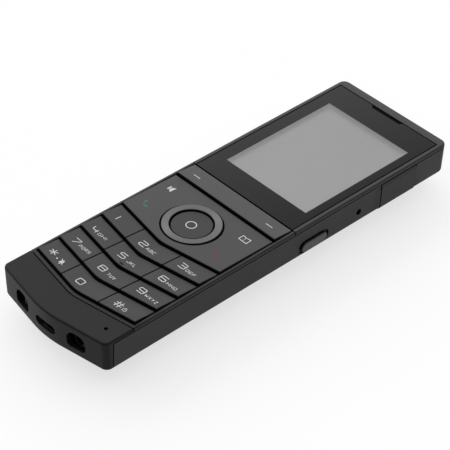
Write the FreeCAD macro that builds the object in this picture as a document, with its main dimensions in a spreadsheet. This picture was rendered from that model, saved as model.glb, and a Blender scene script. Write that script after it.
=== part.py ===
import FreeCAD, Part
import math
import os

import Sketcher
from FreeCAD import Placement, Rotation, Vector

# Portable IP phone handset, lying on its back.
# Frame: millimetres, +X to the right seen from the front, +Y towards the screen end, +Z out of the front.
# The origin is under the middle of the back, in the plane that the phone lies on.

SIZES = {
    "screen_width": (36.72, "lit screen across"),
    "screen_length": (48.96, "lit screen along the phone"),
    "mask_side": (4.19, "dark glass beside the screen"),
    "mask_low": (10.53, "dark glass below the screen"),
    "mask_high": (9.97, "dark glass above the screen"),
    "side_band": (1.70, "frame beside the glass"),
    "top_band": (3.66, "frame above the glass"),
    "soft_height": (8.38, "soft key bar along the phone"),
    "nav_height": (23.81, "function plate along the phone, at its ends"),
    "row_pitch": (8.78, "number rows, one to the next"),
    "chin_length": (16.45, "lowest groove's ends to the tip of the phone"),
    "chin_strip": (1.75, "frame below the lowest groove"),
    "vee_slope": (0.178, "rise of every chevron line for one across"),
    "vee_round": (39.0, "radius of the tip of the phone"),
    "row_vertex_round": (14.0, "radius of the chevron lines at the middle"),
    "corner_round": (2.6, "corners at the screen end"),
    "chin_corner_round": (2.3, "corners at the chin"),
    "corner_growth": (0.08, "growth of the corners' radii for each drawn-in millimetre"),
    "side_depth": (11.5, "front plane to the lower edge of the side wall"),
    "crown_depth": (6.5, "depth of the crowned back below the side wall"),
    "crown_run": (14.0, "inward run of the crown to its flat"),
    "crown_power": (1.35, "exponent of the crown's curve"),
    "wall_draft": (0.05, "lean of the side wall at its lower edge"),
    "end_lean": (0.6, "further lean of the end face at its lower edge"),
    "wall_round": (0.8, "rounding between side wall and crown"),
    "front_slab": (1.0, "front plane to the parting line"),
    "front_round": (0.65, "rounded front edge"),
    "side_wall": (1.6, "side wall"),
    "back_wall": (1.4, "back wall"),
    "seam": (0.4, "shadow gap between covers"),
    "fit": (0.15, "clearance of a part laid in its pocket"),
    "lens_round": (0.5, "corners of the glass"),
    "notch_long": (14.8, "receiver notch at the glass edge"),
    "notch_short": (12.4, "receiver notch at its inner side"),
    "notch_depth": (1.5, "receiver notch along the phone"),
    "display_thick": (1.9, "display module"),
    "display_side": (2.1, "display module beyond the lit screen"),
    "display_tail": (7.0, "display module below the lit screen"),
    "board_thick": (1.0, "circuit board"),
    "field_margin": (0.55, "keypad opening beyond the glass, on each side"),
    "side_gap": (0.5, "keypad opening to the outer keys"),
    "row_gap": (0.7, "groove between rows"),
    "key_split": (8.63, "middle of the groove between columns, from the middle"),
    "key_gap": (0.25, "groove between columns"),
    "key_depth": (1.05, "keys below the front plane"),
    "key_rise": (0.75, "raised lower edge of every key above the front plane"),
    "key_travel": (0.35, "key travel"),
    "key_round": (0.22, "key edges"),
    "nav_centre": (9.52, "ring centre above the ends of its chevron line"),
    "ring_radius": (10.0, "outer radius of the ring"),
    "ring_width": (2.65, "ring, radially"),
    "ring_gap": (0.45, "gap outside the ring"),
    "centre_gap": (0.45, "gap inside the ring"),
    "ring_rise": (0.75, "ring above the front plane"),
    "centre_rise": (0.3, "centre key above the front plane"),
    "mat_thick": (1.3, "rubber mat"),
    "sheet_thick": (0.2, "dome sheet"),
    "cap_reach": (6.7, "tip of the phone to the seam of the bottom cap"),
    "port_depth": (5.6, "front plane to the middle of the outer ports"),
    "socket_depth": (6.4, "front plane to the middle of the data socket"),
    "port_spread": (12.6, "outer ports from the middle"),
    "port_width": (7.2, "outer ports across"),
    "port_height": (6.3, "outer ports from front to back"),
    "port_round": (3.1, "upper corners of the outer ports"),
    "port_foot_round": (1.6, "lower corners of the outer ports"),
    "lanyard_depth": (4.2, "lanyard pocket"),
    "lanyard_pin": (0.8, "radius of the lanyard bar"),
    "socket_width": (8.94, "data socket shell across"),
    "socket_height": (3.26, "data socket shell from front to back"),
    "socket_wall": (0.3, "data socket shell wall"),
    "socket_length": (7.3, "data socket shell along the phone"),
    "jack_bore": (1.78, "radius of the headset socket"),
    "jack_length": (12.5, "headset socket body"),
    "mic_across": (18.65, "microphone hole from the middle"),
    "mic_along": (8.67, "microphone hole from the tip"),
    "mic_hole": (0.65, "radius of the microphone hole"),
    "side_key_along": (9.0, "side key's middle above the lower edge of the glass"),
    "side_key_depth": (8.45, "side keys' middle below the front plane"),
    "side_key_length": (11.4, "side key"),
    "side_key_height": (3.5, "side keys"),
    "side_key_proud": (0.6, "side keys beyond the side wall"),
    "side_key_margin": (1.2, "recess beyond the side key"),
    "side_key_recess": (0.75, "depth of the recess round a side key"),
    "side_travel": (0.3, "travel of the side key"),
    "rocker_along": (16.0, "volume rocker's middle above the lower edge of the glass"),
    "rocker_length": (20.0, "volume rocker"),
    "side_hole_along": (30.1, "side hole above the lower edge of the glass"),
    "side_hole_depth": (7.4, "side hole below the front plane"),
    "side_hole": (1.15, "radius of the side hole"),
    "battery_half": (18.0, "half the battery's width"),
    "battery_length": (50.0, "battery along the phone"),
    "battery_thick": (5.4, "battery"),
    "battery_level": (5.6, "battery above the plane the phone lies on"),
    "battery_along": (4.8, "battery bay above the lowest groove's ends"),
    "bay_gap": (0.4, "battery to its bay"),
    "contact_room": (1.6, "room for the contacts"),
    "bay_wall": (1.0, "bay walls and ceiling"),
    "door_tab": (5.6, "door beyond the bay"),
    "door_tab_half": (8.0, "half the width of the door's tab"),
    "speaker_half": (8.2, "half the loudspeaker's width"),
    "speaker_length": (11.0, "loudspeaker along the phone"),
    "speaker_thick": (4.0, "loudspeaker"),
    "slot_pitch": (1.9, "speaker slots"),
    "slot_width": (0.8, "one speaker slot"),
    "slot_half": (6.0, "half a speaker slot's length"),
    "channel_half": (11.5, "half the recess for the clip's thumb end"),
    "saddle_wall": (0.8, "wall over the belt saddle"),
    "arm_from_top": (15.9, "clip arms to the screen end"),
    "arm_width": (16.6, "clip arms along the phone"),
    "arm_proud": (0.25, "clip arms beyond the side wall"),
    "arm_slope": (1.5, "height of the arms' sloping top"),
    "arm_recess": (0.6, "depth of the arms' seats in the side wall"),
    "shoulder": (4.0, "fairing below each arm"),
    "clip_gap": (0.4, "clip bracket to the back shell"),
    "base_thick": (1.8, "clip bracket's base plate"),
    "pin_from_arm": (5.1, "clip pin below the upper edge of the arms"),
    "pin_level": (3.4, "clip pin above the plane the phone lies on"),
    "pin_radius": (0.8, "clip pin"),
    "running": (0.06, "clip lever's bore round its pin"),
    "barrel_radius": (1.6, "hinge barrels"),
    "lever_half": (9.5, "half the clip lever's width"),
    "lever_thick": (1.6, "clip lever"),
    "lever_level": (0.2, "clip lever above the plane the phone lies on"),
    "thumb": (5.4, "clip lever above the arms"),
    "boss_radius": (2.4, "screw bosses"),
    "screw_across": (18.2, "housing screws from the middle"),
    "screw_top": (5.7, "upper screws to the screen end"),
    "screw_low": (14.6, "lower screws to the tip"),
    "screw_radius": (0.8, "screw shanks"),
    "head_radius": (1.5, "screw heads"),
    "head_thick": (1.1, "screw heads"),
    "receiver_half": (6.2, "half the receiver's length"),
    "receiver_width": (5.6, "receiver along the phone"),
    "receiver_thick": (2.2, "receiver"),
}

PLACES = {
    "glass_half": "Sizes.screen_width / 2 + Sizes.mask_side",
    "body_half": "Sizes.screen_width / 2 + Sizes.mask_side + Sizes.side_band",
    "field_half": "glass_half + Sizes.field_margin",
    "glass_length": "Sizes.screen_length + Sizes.mask_low + Sizes.mask_high",
    "key_length": "4 * Sizes.row_pitch + Sizes.nav_height + Sizes.soft_height",
    "top_end": "(Sizes.chin_length + key_length + glass_length + Sizes.top_band) / 2",
    "low_end": "-top_end",
    "row_zero": "low_end + Sizes.chin_length",
    "nav_low": "row_zero + 4 * Sizes.row_pitch",
    "soft_low": "nav_low + Sizes.nav_height",
    "glass_low": "soft_low + Sizes.soft_height",
    "glass_high": "glass_low + glass_length",
    "screen_low": "glass_low + Sizes.mask_low",
    "screen_high": "screen_low + Sizes.screen_length",
    "nav_y": "nav_low + Sizes.nav_centre",
    "front": "Sizes.crown_depth + Sizes.side_depth",
    "parting": "front - Sizes.front_slab",
    "wall_top": "parting - Sizes.seam",
    "receiver_low": "glass_high - 0.2 - Sizes.receiver_width",
    "shield_low": "arm_low - 18",
    "display_high": "parting - 0.1",
    "display_low": "display_high - Sizes.display_thick",
    "board_top": "display_low - 0.1",
    "board_low": "board_top - Sizes.board_thick",
    "key_low": "front - Sizes.key_depth",
    "mat_high": "key_low - Sizes.key_travel - 0.1",
    "mat_low": "mat_high - Sizes.mat_thick",
    "plate_low": "board_top + 0.3",
    "rail_high": "mat_high - 0.1",
    "key_half": "field_half - Sizes.side_gap",
    "cap_split": "low_end + Sizes.cap_reach",
    "port_z": "front - Sizes.port_depth",
    "socket_z": "front - Sizes.socket_depth",
    "inner_half": "body_half - Sizes.side_wall",
    "bay_low": "row_zero + Sizes.battery_along",
    "bay_high": "bay_low + Sizes.bay_gap + Sizes.battery_length + Sizes.contact_room",
    "bay_half": "Sizes.battery_half + Sizes.bay_gap",
    "bay_top": "Sizes.battery_level + Sizes.battery_thick + Sizes.bay_gap",
    "bay_roof": "bay_top + Sizes.bay_wall",
    "door_low": "bay_low - Sizes.door_tab",
    "speaker_low": "bay_high + Sizes.bay_wall + Sizes.fit",
    "speaker_high": "speaker_low + Sizes.speaker_length",
    "channel_low": "speaker_high + Sizes.fit + Sizes.back_wall",
    "arm_high": "top_end - Sizes.arm_from_top",
    "arm_low": "arm_high - Sizes.arm_width",
    "pin_y": "arm_high - Sizes.pin_from_arm",
    "lever_high": "arm_high + Sizes.thumb",
    "lever_low": "channel_low + 2.2",
    "channel_high": "lever_high + 1.5",
    "side_key_y": "glass_low + Sizes.side_key_along",
    "side_key_z": "front - Sizes.side_key_depth",
    "rocker_y": "glass_low + Sizes.rocker_along",
    "side_hole_y": "glass_low + Sizes.side_hole_along",
    "side_hole_z": "front - Sizes.side_hole_depth",
    "mic_y": "low_end + Sizes.mic_along",
    "screw_top_y": "top_end - Sizes.screw_top",
    "screw_low_y": "low_end + Sizes.screw_low",
    "board_foot": "screw_low_y + Sizes.boss_radius + 0.6",
}

ROLES = {"x": "YZ_Plane", "y": "XZ_Plane", "z": "XY_Plane"}
FAR = 40.0

doc = FreeCAD.newDocument("IpPhone")


def fill_sheet(name, rows):
    """A sheet with one named value in each row: what it is beside its value."""
    sheet = doc.addObject("Spreadsheet::Sheet", name)
    for row, (alias, (content, meaning)) in enumerate(rows.items(), start=1):
        sheet.set(f"A{row}", meaning)
        sheet.set(f"B{row}", content)
        sheet.setAlias(f"B{row}", alias)
    doc.recompute()
    return sheet


sizes = fill_sheet("Sizes", {k: (str(number), text) for k, (number, text) in SIZES.items()})
places = fill_sheet("Places", {k: ("=" + formula, k.replace("_", " ")) for k, formula in PLACES.items()})


def value(text):
    """The number that an expression over the sheets gives."""
    return float(sizes.evalExpression(text))


# Building blocks


def plane_of(body, role):
    """One of the body's own origin planes."""
    return next(item for item in body.Origin.OriginFeatures if item.Role == role)


def new_body(label):
    body = doc.addObject("PartDesign::Body", label)
    body.Label = label
    return body


def place_sketch(body, name, axis, level):
    """An empty sketch across the given axis, at the given place along it."""
    sketch = body.newObject("Sketcher::SketchObject", name)
    sketch.AttachmentSupport = [(plane_of(body, ROLES[axis]), "")]
    sketch.MapMode = "FlatFace"
    sketch.setExpression("AttachmentOffset.Base.z", f"-({level})" if axis == "y" else level)
    return sketch


def draw_polygon(sketch, points):
    """Straight closed outline with both coordinates of every corner bound to the sheets."""
    corners = [Vector(value(across), value(along), 0) for across, along in points]
    first = sketch.GeometryCount
    for index, corner in enumerate(corners):
        sketch.addGeometry(Part.LineSegment(corner, corners[(index + 1) % len(corners)]), False)
    for index in range(len(corners)):
        following = (index + 1) % len(corners)
        sketch.addConstraint(Sketcher.Constraint("Coincident", first + index, 2, first + following, 1))
    for index, pair in enumerate(points):
        for kind, text in zip(("DistanceX", "DistanceY"), pair):
            rule = Sketcher.Constraint(kind, -1, 1, first + index, 1, value(text))
            number = sketch.addConstraint(rule)
            sketch.setExpression(f"Constraints[{number}]", text)


def draw_circle(sketch, centre, radius):
    """Circle with its centre and radius bound to the sheets."""
    middle = Vector(value(centre[0]), value(centre[1]), 0)
    index = sketch.addGeometry(Part.Circle(middle, Vector(0, 0, 1), value(radius)), False)
    for kind, text in zip(("DistanceX", "DistanceY"), centre):
        number = sketch.addConstraint(Sketcher.Constraint(kind, -1, 1, index, 3, value(text)))
        sketch.setExpression(f"Constraints[{number}]", text)
    number = sketch.addConstraint(Sketcher.Constraint("Radius", index, value(radius)))
    sketch.setExpression(f"Constraints[{number}]", radius)


def add_pad(body, name, sketch, length):
    pad = body.newObject("PartDesign::Pad", name)
    pad.Profile = sketch
    pad.setExpression("Length", length)
    body.Tip = pad
    return pad


def add_pocket(body, name, sketch, length=None, reverse=False):
    """A pocket of the given depth, or through everything on both sides of its sketch."""
    before = body.Shape.Volume
    pocket = body.newObject("PartDesign::Pocket", name)
    pocket.Profile = sketch
    if length is None:
        pocket.Midplane = True
        pocket.Length = 4 * FAR
    else:
        pocket.Reversed = reverse
        pocket.setExpression("Length", length)
    body.Tip = pocket
    doc.recompute()
    if body.Shape.Volume >= before:
        raise RuntimeError(f"{body.Label}: {name} cuts nothing")
    return pocket


def round_edges(body, name, radius, wanted):
    """Fillet on the edges of the tip for which wanted(edge) is true."""
    doc.recompute()
    base = body.Tip
    names = [f"Edge{i}" for i, edge in enumerate(base.Shape.Edges, start=1) if wanted(edge)]
    fillet = body.newObject("PartDesign::Fillet", name)
    fillet.Base = (base, names)
    fillet.setExpression("Radius", radius)
    body.Tip = fillet
    return fillet


def runs_along(axis):
    """Test for straight edges parallel to an axis."""
    direction = {"x": Vector(1, 0, 0), "y": Vector(0, 1, 0), "z": Vector(0, 0, 1)}[axis]

    def test(edge):
        first, last = (vertex.Point for vertex in (edge.Vertexes[0], edge.Vertexes[-1]))
        line = last - first
        return line.Length > 1e-6 and line.cross(direction).Length < 1e-6 * max(1.0, line.Length)

    return test


def above(level):
    """Test for edges whose middle is higher than a level."""
    height = value(level)
    return lambda edge: edge.CenterOfMass.z > height


def prism(label, points, low, high, tip=None):
    """Upright prism over a straight outline; tip rounds the corners on the middle line."""
    body = new_body(label)
    sketch = place_sketch(body, label + "_outline", "z", low)
    draw_polygon(sketch, points)
    add_pad(body, label + "_pad", sketch, f"({high}) - ({low})")
    if tip is not None:
        upright = runs_along("z")
        round_edges(body, label + "_tip", tip, lambda edge: upright(edge) and abs(edge.CenterOfMass.x) < 0.01)
    return body


def block(label, x, y, z, radius=None, axis="z"):
    """Block between pairs of expressions, with the edges along one axis rounded if asked."""
    spans = {"x": x, "y": y, "z": z}
    first, second = [name for name in "xyz" if name != axis]
    start = spans[axis][1] if axis == "y" else spans[axis][0]
    body = new_body(label)
    sketch = place_sketch(body, label + "_outline", axis, start)
    corners = [(spans[first][i], spans[second][j]) for i, j in ((0, 0), (1, 0), (1, 1), (0, 1))]
    draw_polygon(sketch, corners)
    add_pad(body, label + "_pad", sketch, f"({spans[axis][1]}) - ({spans[axis][0]})")
    if radius is not None:
        round_edges(body, label + "_corners", radius, runs_along(axis))
    return body


def box(name, x, y, z):
    """Plain box between pairs of expressions, for booleans."""
    item = doc.addObject("Part::Box", name)
    for axis, side, (low, high) in zip("xyz", ("Length", "Width", "Height"), (x, y, z)):
        item.setExpression(side, f"({high}) - ({low})")
        item.setExpression(f"Placement.Base.{axis}", low)
    return item


def cylinder(name, start, length, radius, axis="z"):
    """Cylinder from a point given by expressions, along one axis."""
    item = doc.addObject("Part::Cylinder", name)
    turn = {"x": Vector(1, 0, 0), "y": Vector(0, 1, 0), "z": Vector(0, 0, 1)}[axis]
    item.Placement = Placement(Vector(), Rotation(Vector(0, 0, 1), turn))
    item.setExpression("Radius", radius)
    item.setExpression("Height", length)
    for direction, text in zip("xyz", start):
        item.setExpression(f"Placement.Base.{direction}", text)
    return item


def fuse(name, *shapes):
    if len(shapes) == 1:
        return shapes[0]
    item = doc.addObject("Part::MultiFuse", name)
    item.Shapes = list(shapes)
    return item


def cut(name, base, *tools):
    item = doc.addObject("Part::Cut", name)
    item.Base = base
    item.Tool = fuse(name + "_tools", *tools)
    return item


def common(name, first, second):
    item = doc.addObject("Part::MultiCommon", name)
    item.Shapes = [first, second]
    return item


def both_sides(start, end):
    """The same span on the right and, mirrored, on the left."""
    return ((start, end), (f"-({end})", f"-({start})"))


def vee(base, across):
    """Height of a chevron line at a distance from the middle, from the height of its ends."""
    return f"({base}) - Sizes.vee_slope * (Places.field_half - ({across}))"


# Outer skin


def rounded_loop(corners, level):
    """Closed wire through corners given as (x, y, radius), each rounded by its radius."""
    count = len(corners)
    edges = []
    arcs = []
    for index, (x, y, radius) in enumerate(corners):
        here = Vector(x, y, level)
        back = Vector(corners[index - 1][0], corners[index - 1][1], level) - here
        ahead = Vector(corners[(index + 1) % count][0], corners[(index + 1) % count][1], level) - here
        back.normalize()
        ahead.normalize()
        half = math.acos(max(-1.0, min(1.0, back.dot(ahead)))) / 2
        reach = radius / math.tan(half)
        bisector = (back + ahead).normalize()
        middle = here + bisector * (radius / math.sin(half) - radius)
        arcs.append((here + back * reach, middle, here + ahead * reach))
    for index, (start, middle, end) in enumerate(arcs):
        edges.append(Part.Arc(start, middle, end).toShape())
        edges.append(Part.LineSegment(end, arcs[(index + 1) % count][0]).toShape())
    return Part.Wire(edges)


def outline(inset, level, tuck=0.0):
    """The phone's outline from the front, drawn in by an inset, and at its chin also by a tuck."""
    slope = value("Sizes.vee_slope")
    steep = math.sqrt(1 + slope ** 2)
    tip_round = value("Sizes.vee_round") - inset
    half = value("Places.body_half") - inset
    top = value("Places.top_end") - inset
    sharp_tip = value("Places.low_end") + tuck - value("Sizes.vee_round") * (steep - 1) + inset * steep
    shoulder = sharp_tip + slope * half
    top_round = value("Sizes.corner_round") + value("Sizes.corner_growth") * inset
    chin_round = value("Sizes.chin_corner_round") + value("Sizes.corner_growth") * inset
    corners = [
        (half, top, top_round),
        (-half, top, top_round),
        (-half, shoulder, chin_round),
        (0.0, sharp_tip, tip_round),
        (half, shoulder, chin_round),
    ]
    return rounded_loop(corners, level)


def skin(name, grow, lift, top):
    """Closed body of the phone's outer form below a level, grown outwards or drawn in, with its back lifted."""
    depth = value("Sizes.crown_depth")
    run = value("Sizes.crown_run")
    power = value("Sizes.crown_power")
    draft = value("Sizes.wall_draft")
    rounding = value("Sizes.wall_round")
    parting = value("Places.parting")

    def tuck(level):
        """Lean of the end face at a level, from none at the parting line."""
        share = (parting - level) / (parting - depth - rounding)
        return value("Sizes.end_lean") * min(1.0, max(0.0, share))

    wall = [(0.0, value(top)), (draft, depth + lift + rounding)]
    turn = [(draft + 0.2 * rounding, depth + lift + 0.35 * rounding)]
    crown = []
    for share in (0.06, 0.2, 0.35, 0.5, 0.65, 0.8, 0.91, 1.0):
        crown.append((draft + share * run, lift + depth * (1 - share) ** power))
    wires = [outline(inset - grow, level, tuck(level)) for inset, level in wall + turn + crown]
    solid = Part.makeLoft(wires, True, True)
    item = doc.addObject("Part::Feature", name)
    item.Shape = solid
    return item


def front_slab():
    """The flat front of the phone with its rounded edge, before it is parted into pieces."""
    low = value("Places.parting")
    face = Part.Face(outline(0.0, low))
    slab = face.extrude(Vector(0, 0, value("Sizes.front_slab")))
    level = value("Places.front") - 0.01
    edges = [edge for edge in slab.Edges if edge.CenterOfMass.z > level]
    item = doc.addObject("Part::Feature", "front_slab")
    item.Shape = slab.makeFillet(value("Sizes.front_round"), edges)
    return item


def plate_under(name, inset, low, high):
    """Flat plate of the phone's outline, drawn in."""
    item = doc.addObject("Part::Feature", name)
    face = Part.Face(outline(value(inset), value(low)))
    item.Shape = face.extrude(Vector(0, 0, value(f"({high}) - ({low})")))
    return item


# Covers


def chin_region(name, edge, low, high):
    """Everything below a chevron line that is parallel to the lowest groove."""
    side = f"Places.body_half + {FAR}"
    points = [
        (f"-({side})", f"Places.low_end - {FAR}"),
        (side, f"Places.low_end - {FAR}"),
        (side, vee(edge, side)),
        ("0", vee(edge, "0")),
        (f"-({side})", vee(edge, side)),
    ]
    return prism(name, points, low, high, "Sizes.row_vertex_round + Sizes.chin_strip")


def make_keypad_bezel(slab):
    """Frame round the keys: both sides and the chevron strip below them."""
    side = f"Places.body_half + {FAR}"
    edge = "Places.row_zero - Sizes.chin_strip + Sizes.seam / 2"
    region = [
        (f"-({side})", vee(edge, side)),
        ("0", vee(edge, "0")),
        (side, vee(edge, side)),
        (side, "Places.glass_low - Sizes.seam / 2"),
        (f"-({side})", "Places.glass_low - Sizes.seam / 2"),
    ]
    inner = "Places.row_zero - Sizes.row_gap / 2"
    opening = [
        ("-Places.field_half", vee(inner, "Places.field_half")),
        ("0", vee(inner, "0")),
        ("Places.field_half", vee(inner, "Places.field_half")),
        ("Places.field_half", "Places.glass_low + Sizes.fit"),
        ("-Places.field_half", "Places.glass_low + Sizes.fit"),
    ]
    low, high = "Places.parting - 0.5", "Places.front + 1"
    round_low = "Sizes.row_vertex_round + Sizes.chin_strip"
    strip = common("keypad_bezel_blank", slab, prism("keypad_bezel_region", region, low, high, round_low))
    field = prism("keypad_bezel_opening", opening, low, high, "Sizes.row_vertex_round + Sizes.row_gap")
    return cut("keypad_bezel", strip, field)


def notch_points():
    """Outline of the receiver notch at the upper edge of the glass."""
    edge = "Places.glass_high + Sizes.fit"
    inner = "Places.glass_high - Sizes.notch_depth"
    return [("-Sizes.notch_long / 2", edge), ("-Sizes.notch_short / 2", inner),
            ("Sizes.notch_short / 2", inner), ("Sizes.notch_long / 2", edge)]


def make_front_housing(slab):
    """Display-side frame with the plate that carries glass, display and keypad."""
    side = ("-Places.body_half - 5", "Places.body_half + 5")
    glass_side = ("-Places.glass_half - Sizes.fit", "Places.glass_half + Sizes.fit")
    screen_side = "Sizes.screen_width / 2 + Sizes.display_side + Sizes.fit"
    upper = box("rim_region", side, ("Places.glass_low + Sizes.seam / 2", "Places.top_end + 5"),
                ("Places.parting - 0.5", "Places.front + 1"))
    rim = common("rim_blank", slab, upper)
    flange = plate_under("rim_flange", "Sizes.side_band / 2", "Places.wall_top", "Places.parting")
    plate = plate_under("carrier_plate", "Sizes.side_wall + 0.1", "Places.plate_low", "Places.wall_top")
    bosses = []
    for number, (x, y) in enumerate(screw_places()):
        bosses.append(cylinder(f"front_boss_{number}", (x, y, "Places.board_low - 0.9"),
                               "Places.plate_low - Places.board_low + 1.0", "Sizes.boss_radius - 0.1"))
    blank = fuse("front_housing_blank", rim, flange, plate, *bosses)
    pocket = box("glass_pocket", glass_side, ("Places.glass_low - 10", "Places.glass_high + Sizes.fit"),
                 ("Places.parting", "Places.front + 1"))
    window = box("display_window", (f"-({screen_side})", screen_side),
                 ("Places.screen_low - Sizes.display_tail - Sizes.fit",
                  "Places.screen_high + Sizes.display_side + Sizes.fit"),
                 ("Places.plate_low - 1", "Places.parting + 0.1"))
    inner = "Places.row_zero + 0.25"
    rail = "Places.inner_half - 0.9"
    opening = [
        (f"-({rail})", vee(inner, rail)),
        ("0", vee(inner, "0")),
        (rail, vee(inner, rail)),
        (rail, "Places.glass_low - 1.0"),
        (f"-({rail})", "Places.glass_low - 1.0"),
    ]
    key_opening = prism("keypad_opening", opening, "Places.plate_low - 1", "Places.front + 1")
    edge = "Places.row_zero - Sizes.row_gap"
    wide = f"Places.body_half + {FAR}"
    low_plate = [
        (f"-({wide})", vee(edge, wide)),
        ("0", vee(edge, "0")),
        (wide, vee(edge, wide)),
        (wide, "Places.glass_low"),
        (f"-({wide})", "Places.glass_low"),
    ]
    above_rails = prism("above_rails", low_plate, "Places.rail_high", "Places.front + 1")
    flange_end = box("flange_end", side, ("Places.low_end - 5", "Places.glass_low - 1.0"),
                     ("Places.wall_top", "Places.front + 1"))
    plate_end = box("plate_end", side, ("Places.low_end - 5", "Places.cap_split + 0.4"),
                    ("Places.plate_low - 5", "Places.front + 1"))
    sound = box("receiver_slot", ("-Sizes.notch_short / 2 + 0.6", "Sizes.notch_short / 2 - 0.6"),
                ("Places.glass_high - Sizes.notch_depth + 0.2", "Places.glass_high - 0.1"),
                ("Places.plate_low - 1", "Places.parting + 0.2"))
    mic = cylinder("microphone_duct", ("Sizes.mic_across", "Places.mic_y", "Places.plate_low - 1"), "3",
                   "Sizes.mic_hole")
    pilots = []
    for number, (x, y) in enumerate(screw_places()):
        pilots.append(cylinder(f"pilot_{number}", (x, y, "Places.board_low - 2"), "2.7",
                               "Sizes.screw_radius + 0.02"))
    return cut("front_housing", blank, pocket, window, key_opening, above_rails, flange_end, plate_end,
               sound, mic, *pilots)


def screw_places():
    """Places of the four housing screws."""
    spots = []
    for y in ("Places.screw_top_y", "Places.screw_low_y"):
        for sign in ("", "-"):
            spots.append((f"{sign}Sizes.screw_across", y))
    return spots


def port_block(label, centre, grow, y):
    """Prism with the ports' arched section, along the phone: two round upper and two tighter lower corners."""
    half = f"Sizes.port_width / 2 + {grow}"
    tall = f"Sizes.port_height / 2 + {grow}"
    body = block(label, (f"({centre}) - ({half})", f"({centre}) + ({half})"), y,
                 (f"Places.port_z - ({tall})", f"Places.port_z + ({tall})"), axis="y")
    along = runs_along("y")
    middle = value("Places.port_z")
    round_edges(body, label + "_head", f"Sizes.port_round + {grow}",
                lambda edge: along(edge) and edge.CenterOfMass.z > middle)
    round_edges(body, label + "_foot", f"Sizes.port_foot_round + {grow}",
                lambda edge: along(edge) and edge.CenterOfMass.z < middle
                and abs(edge.CenterOfMass.z - middle) > value(tall) - 0.01)
    return body


def make_bottom_cap(slab):
    """Chin plate and end wall in one piece, with the three ports and the microphone hole."""
    edge = "Places.row_zero - Sizes.chin_strip - Sizes.seam / 2"
    plate = common("chin_plate", slab,
                   chin_region("chin_region", edge, "Places.parting - 0.5", "Places.front + 1"))
    end_box = box("cap_region", ("-Places.body_half - 5", "Places.body_half + 5"),
                  ("Places.low_end - 5", "Places.cap_split"), ("-5", "Places.front + 5"))
    end_wall = common("end_wall", skin("cap_skin", 0.0, 0.0, "Places.parting"), end_box)
    hollow = skin("cap_hollow", -value("Sizes.side_wall"), value("Sizes.back_wall"), "Places.parting")
    pocket_back = "Places.cap_split"
    shelter = port_block("lanyard_shelter", "-Sizes.port_spread", "1.1",
                         ("Places.low_end - 2", pocket_back))
    room = cut("cap_room", hollow, shelter)
    lanyard = port_block("lanyard_pocket", "-Sizes.port_spread", "0",
                         ("Places.low_end - 5", "Places.cap_split - 0.9"))
    headset = port_block("headset_port", "Sizes.port_spread", "0",
                         ("Places.low_end - 5", "Places.low_end + 5"))
    half = f"Sizes.socket_width / 2 + 0.1"
    tall = f"Sizes.socket_height / 2 + 0.1"
    socket = block("socket_port", (f"-({half})", half), ("Places.low_end - 5", "Places.cap_split + 1"),
                   (f"Places.socket_z - ({tall})", f"Places.socket_z + ({tall})"),
                   radius="Sizes.socket_height / 2 + 0.09", axis="y")
    mic = cylinder("microphone_hole", ("Sizes.mic_across", "Places.mic_y", "Places.parting - 1"),
                   "Sizes.front_slab + 2", "Sizes.mic_hole")
    bar = cylinder("lanyard_bar_hole", lanyard_start(), "Sizes.port_height + 1.6", "Sizes.lanyard_pin + 0.02")
    shell = cut("cap_wall", end_wall, room)
    return cut("bottom_cap", fuse("bottom_cap_blank", plate, shell), lanyard, headset, socket, mic, bar)


def lanyard_start():
    """Lower end of the lanyard bar's hole."""
    return ("-Sizes.port_spread", "Places.cap_split - 2.7", "Places.port_z - Sizes.port_height / 2 - 0.8")


def slot_body(label, centre, length, height, x):
    """Pill-shaped block across the side wall, lying along the phone."""
    y, z = centre
    return block(label, x, (f"{y} - ({length}) / 2", f"{y} + ({length}) / 2"),
                 (f"{z} - ({height}) / 2", f"{z} + ({height}) / 2"), radius=f"({height}) / 2 - 0.01", axis="x")


def side_key_cuts():
    """Recess and through slot for the side key on the right and the volume rocker on the left."""
    tools = []
    for name, y, length, spans in (
        ("side_key", "Places.side_key_y", "Sizes.side_key_length", 0),
        ("volume", "Places.rocker_y", "Sizes.rocker_length", 1),
    ):
        recess = both_sides("Places.body_half - Sizes.side_key_recess", "Places.body_half + 5")[spans]
        slot = both_sides("Places.inner_half - 3", "Places.body_half + 5")[spans]
        margin = "2 * Sizes.side_key_margin"
        tools.append(slot_body(name + "_recess", (y, "Places.side_key_z"), f"{length} + {margin}",
                               f"Sizes.side_key_height + {margin} - 0.7", recess))
        tools.append(slot_body(name + "_slot", (y, "Places.side_key_z"), f"{length} + 2 * Sizes.fit + 0.1",
                               "Sizes.side_key_height + 2 * Sizes.fit + 0.1", slot))
    return tools


def make_shoulders():
    """Fairings on the side walls that rise towards the clip arms from below."""
    inner = "Places.body_half - 0.8"
    outer = "Places.body_half + Sizes.arm_proud - 0.1"
    near = "Places.arm_low - Sizes.clip_gap"
    far = f"{near} - Sizes.shoulder"
    items = []
    for name, side in (("right", ""), ("left", "-")):
        points = [(f"{side}({inner})", near), (f"{side}({outer})", near),
                  (f"{side}(Places.body_half - 0.1)", far), (f"{side}({inner})", far)]
        items.append(prism(f"shoulder_{name}", points, "Sizes.crown_depth + Sizes.wall_round",
                           "Places.wall_top - Sizes.arm_slope"))
    return items


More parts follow.
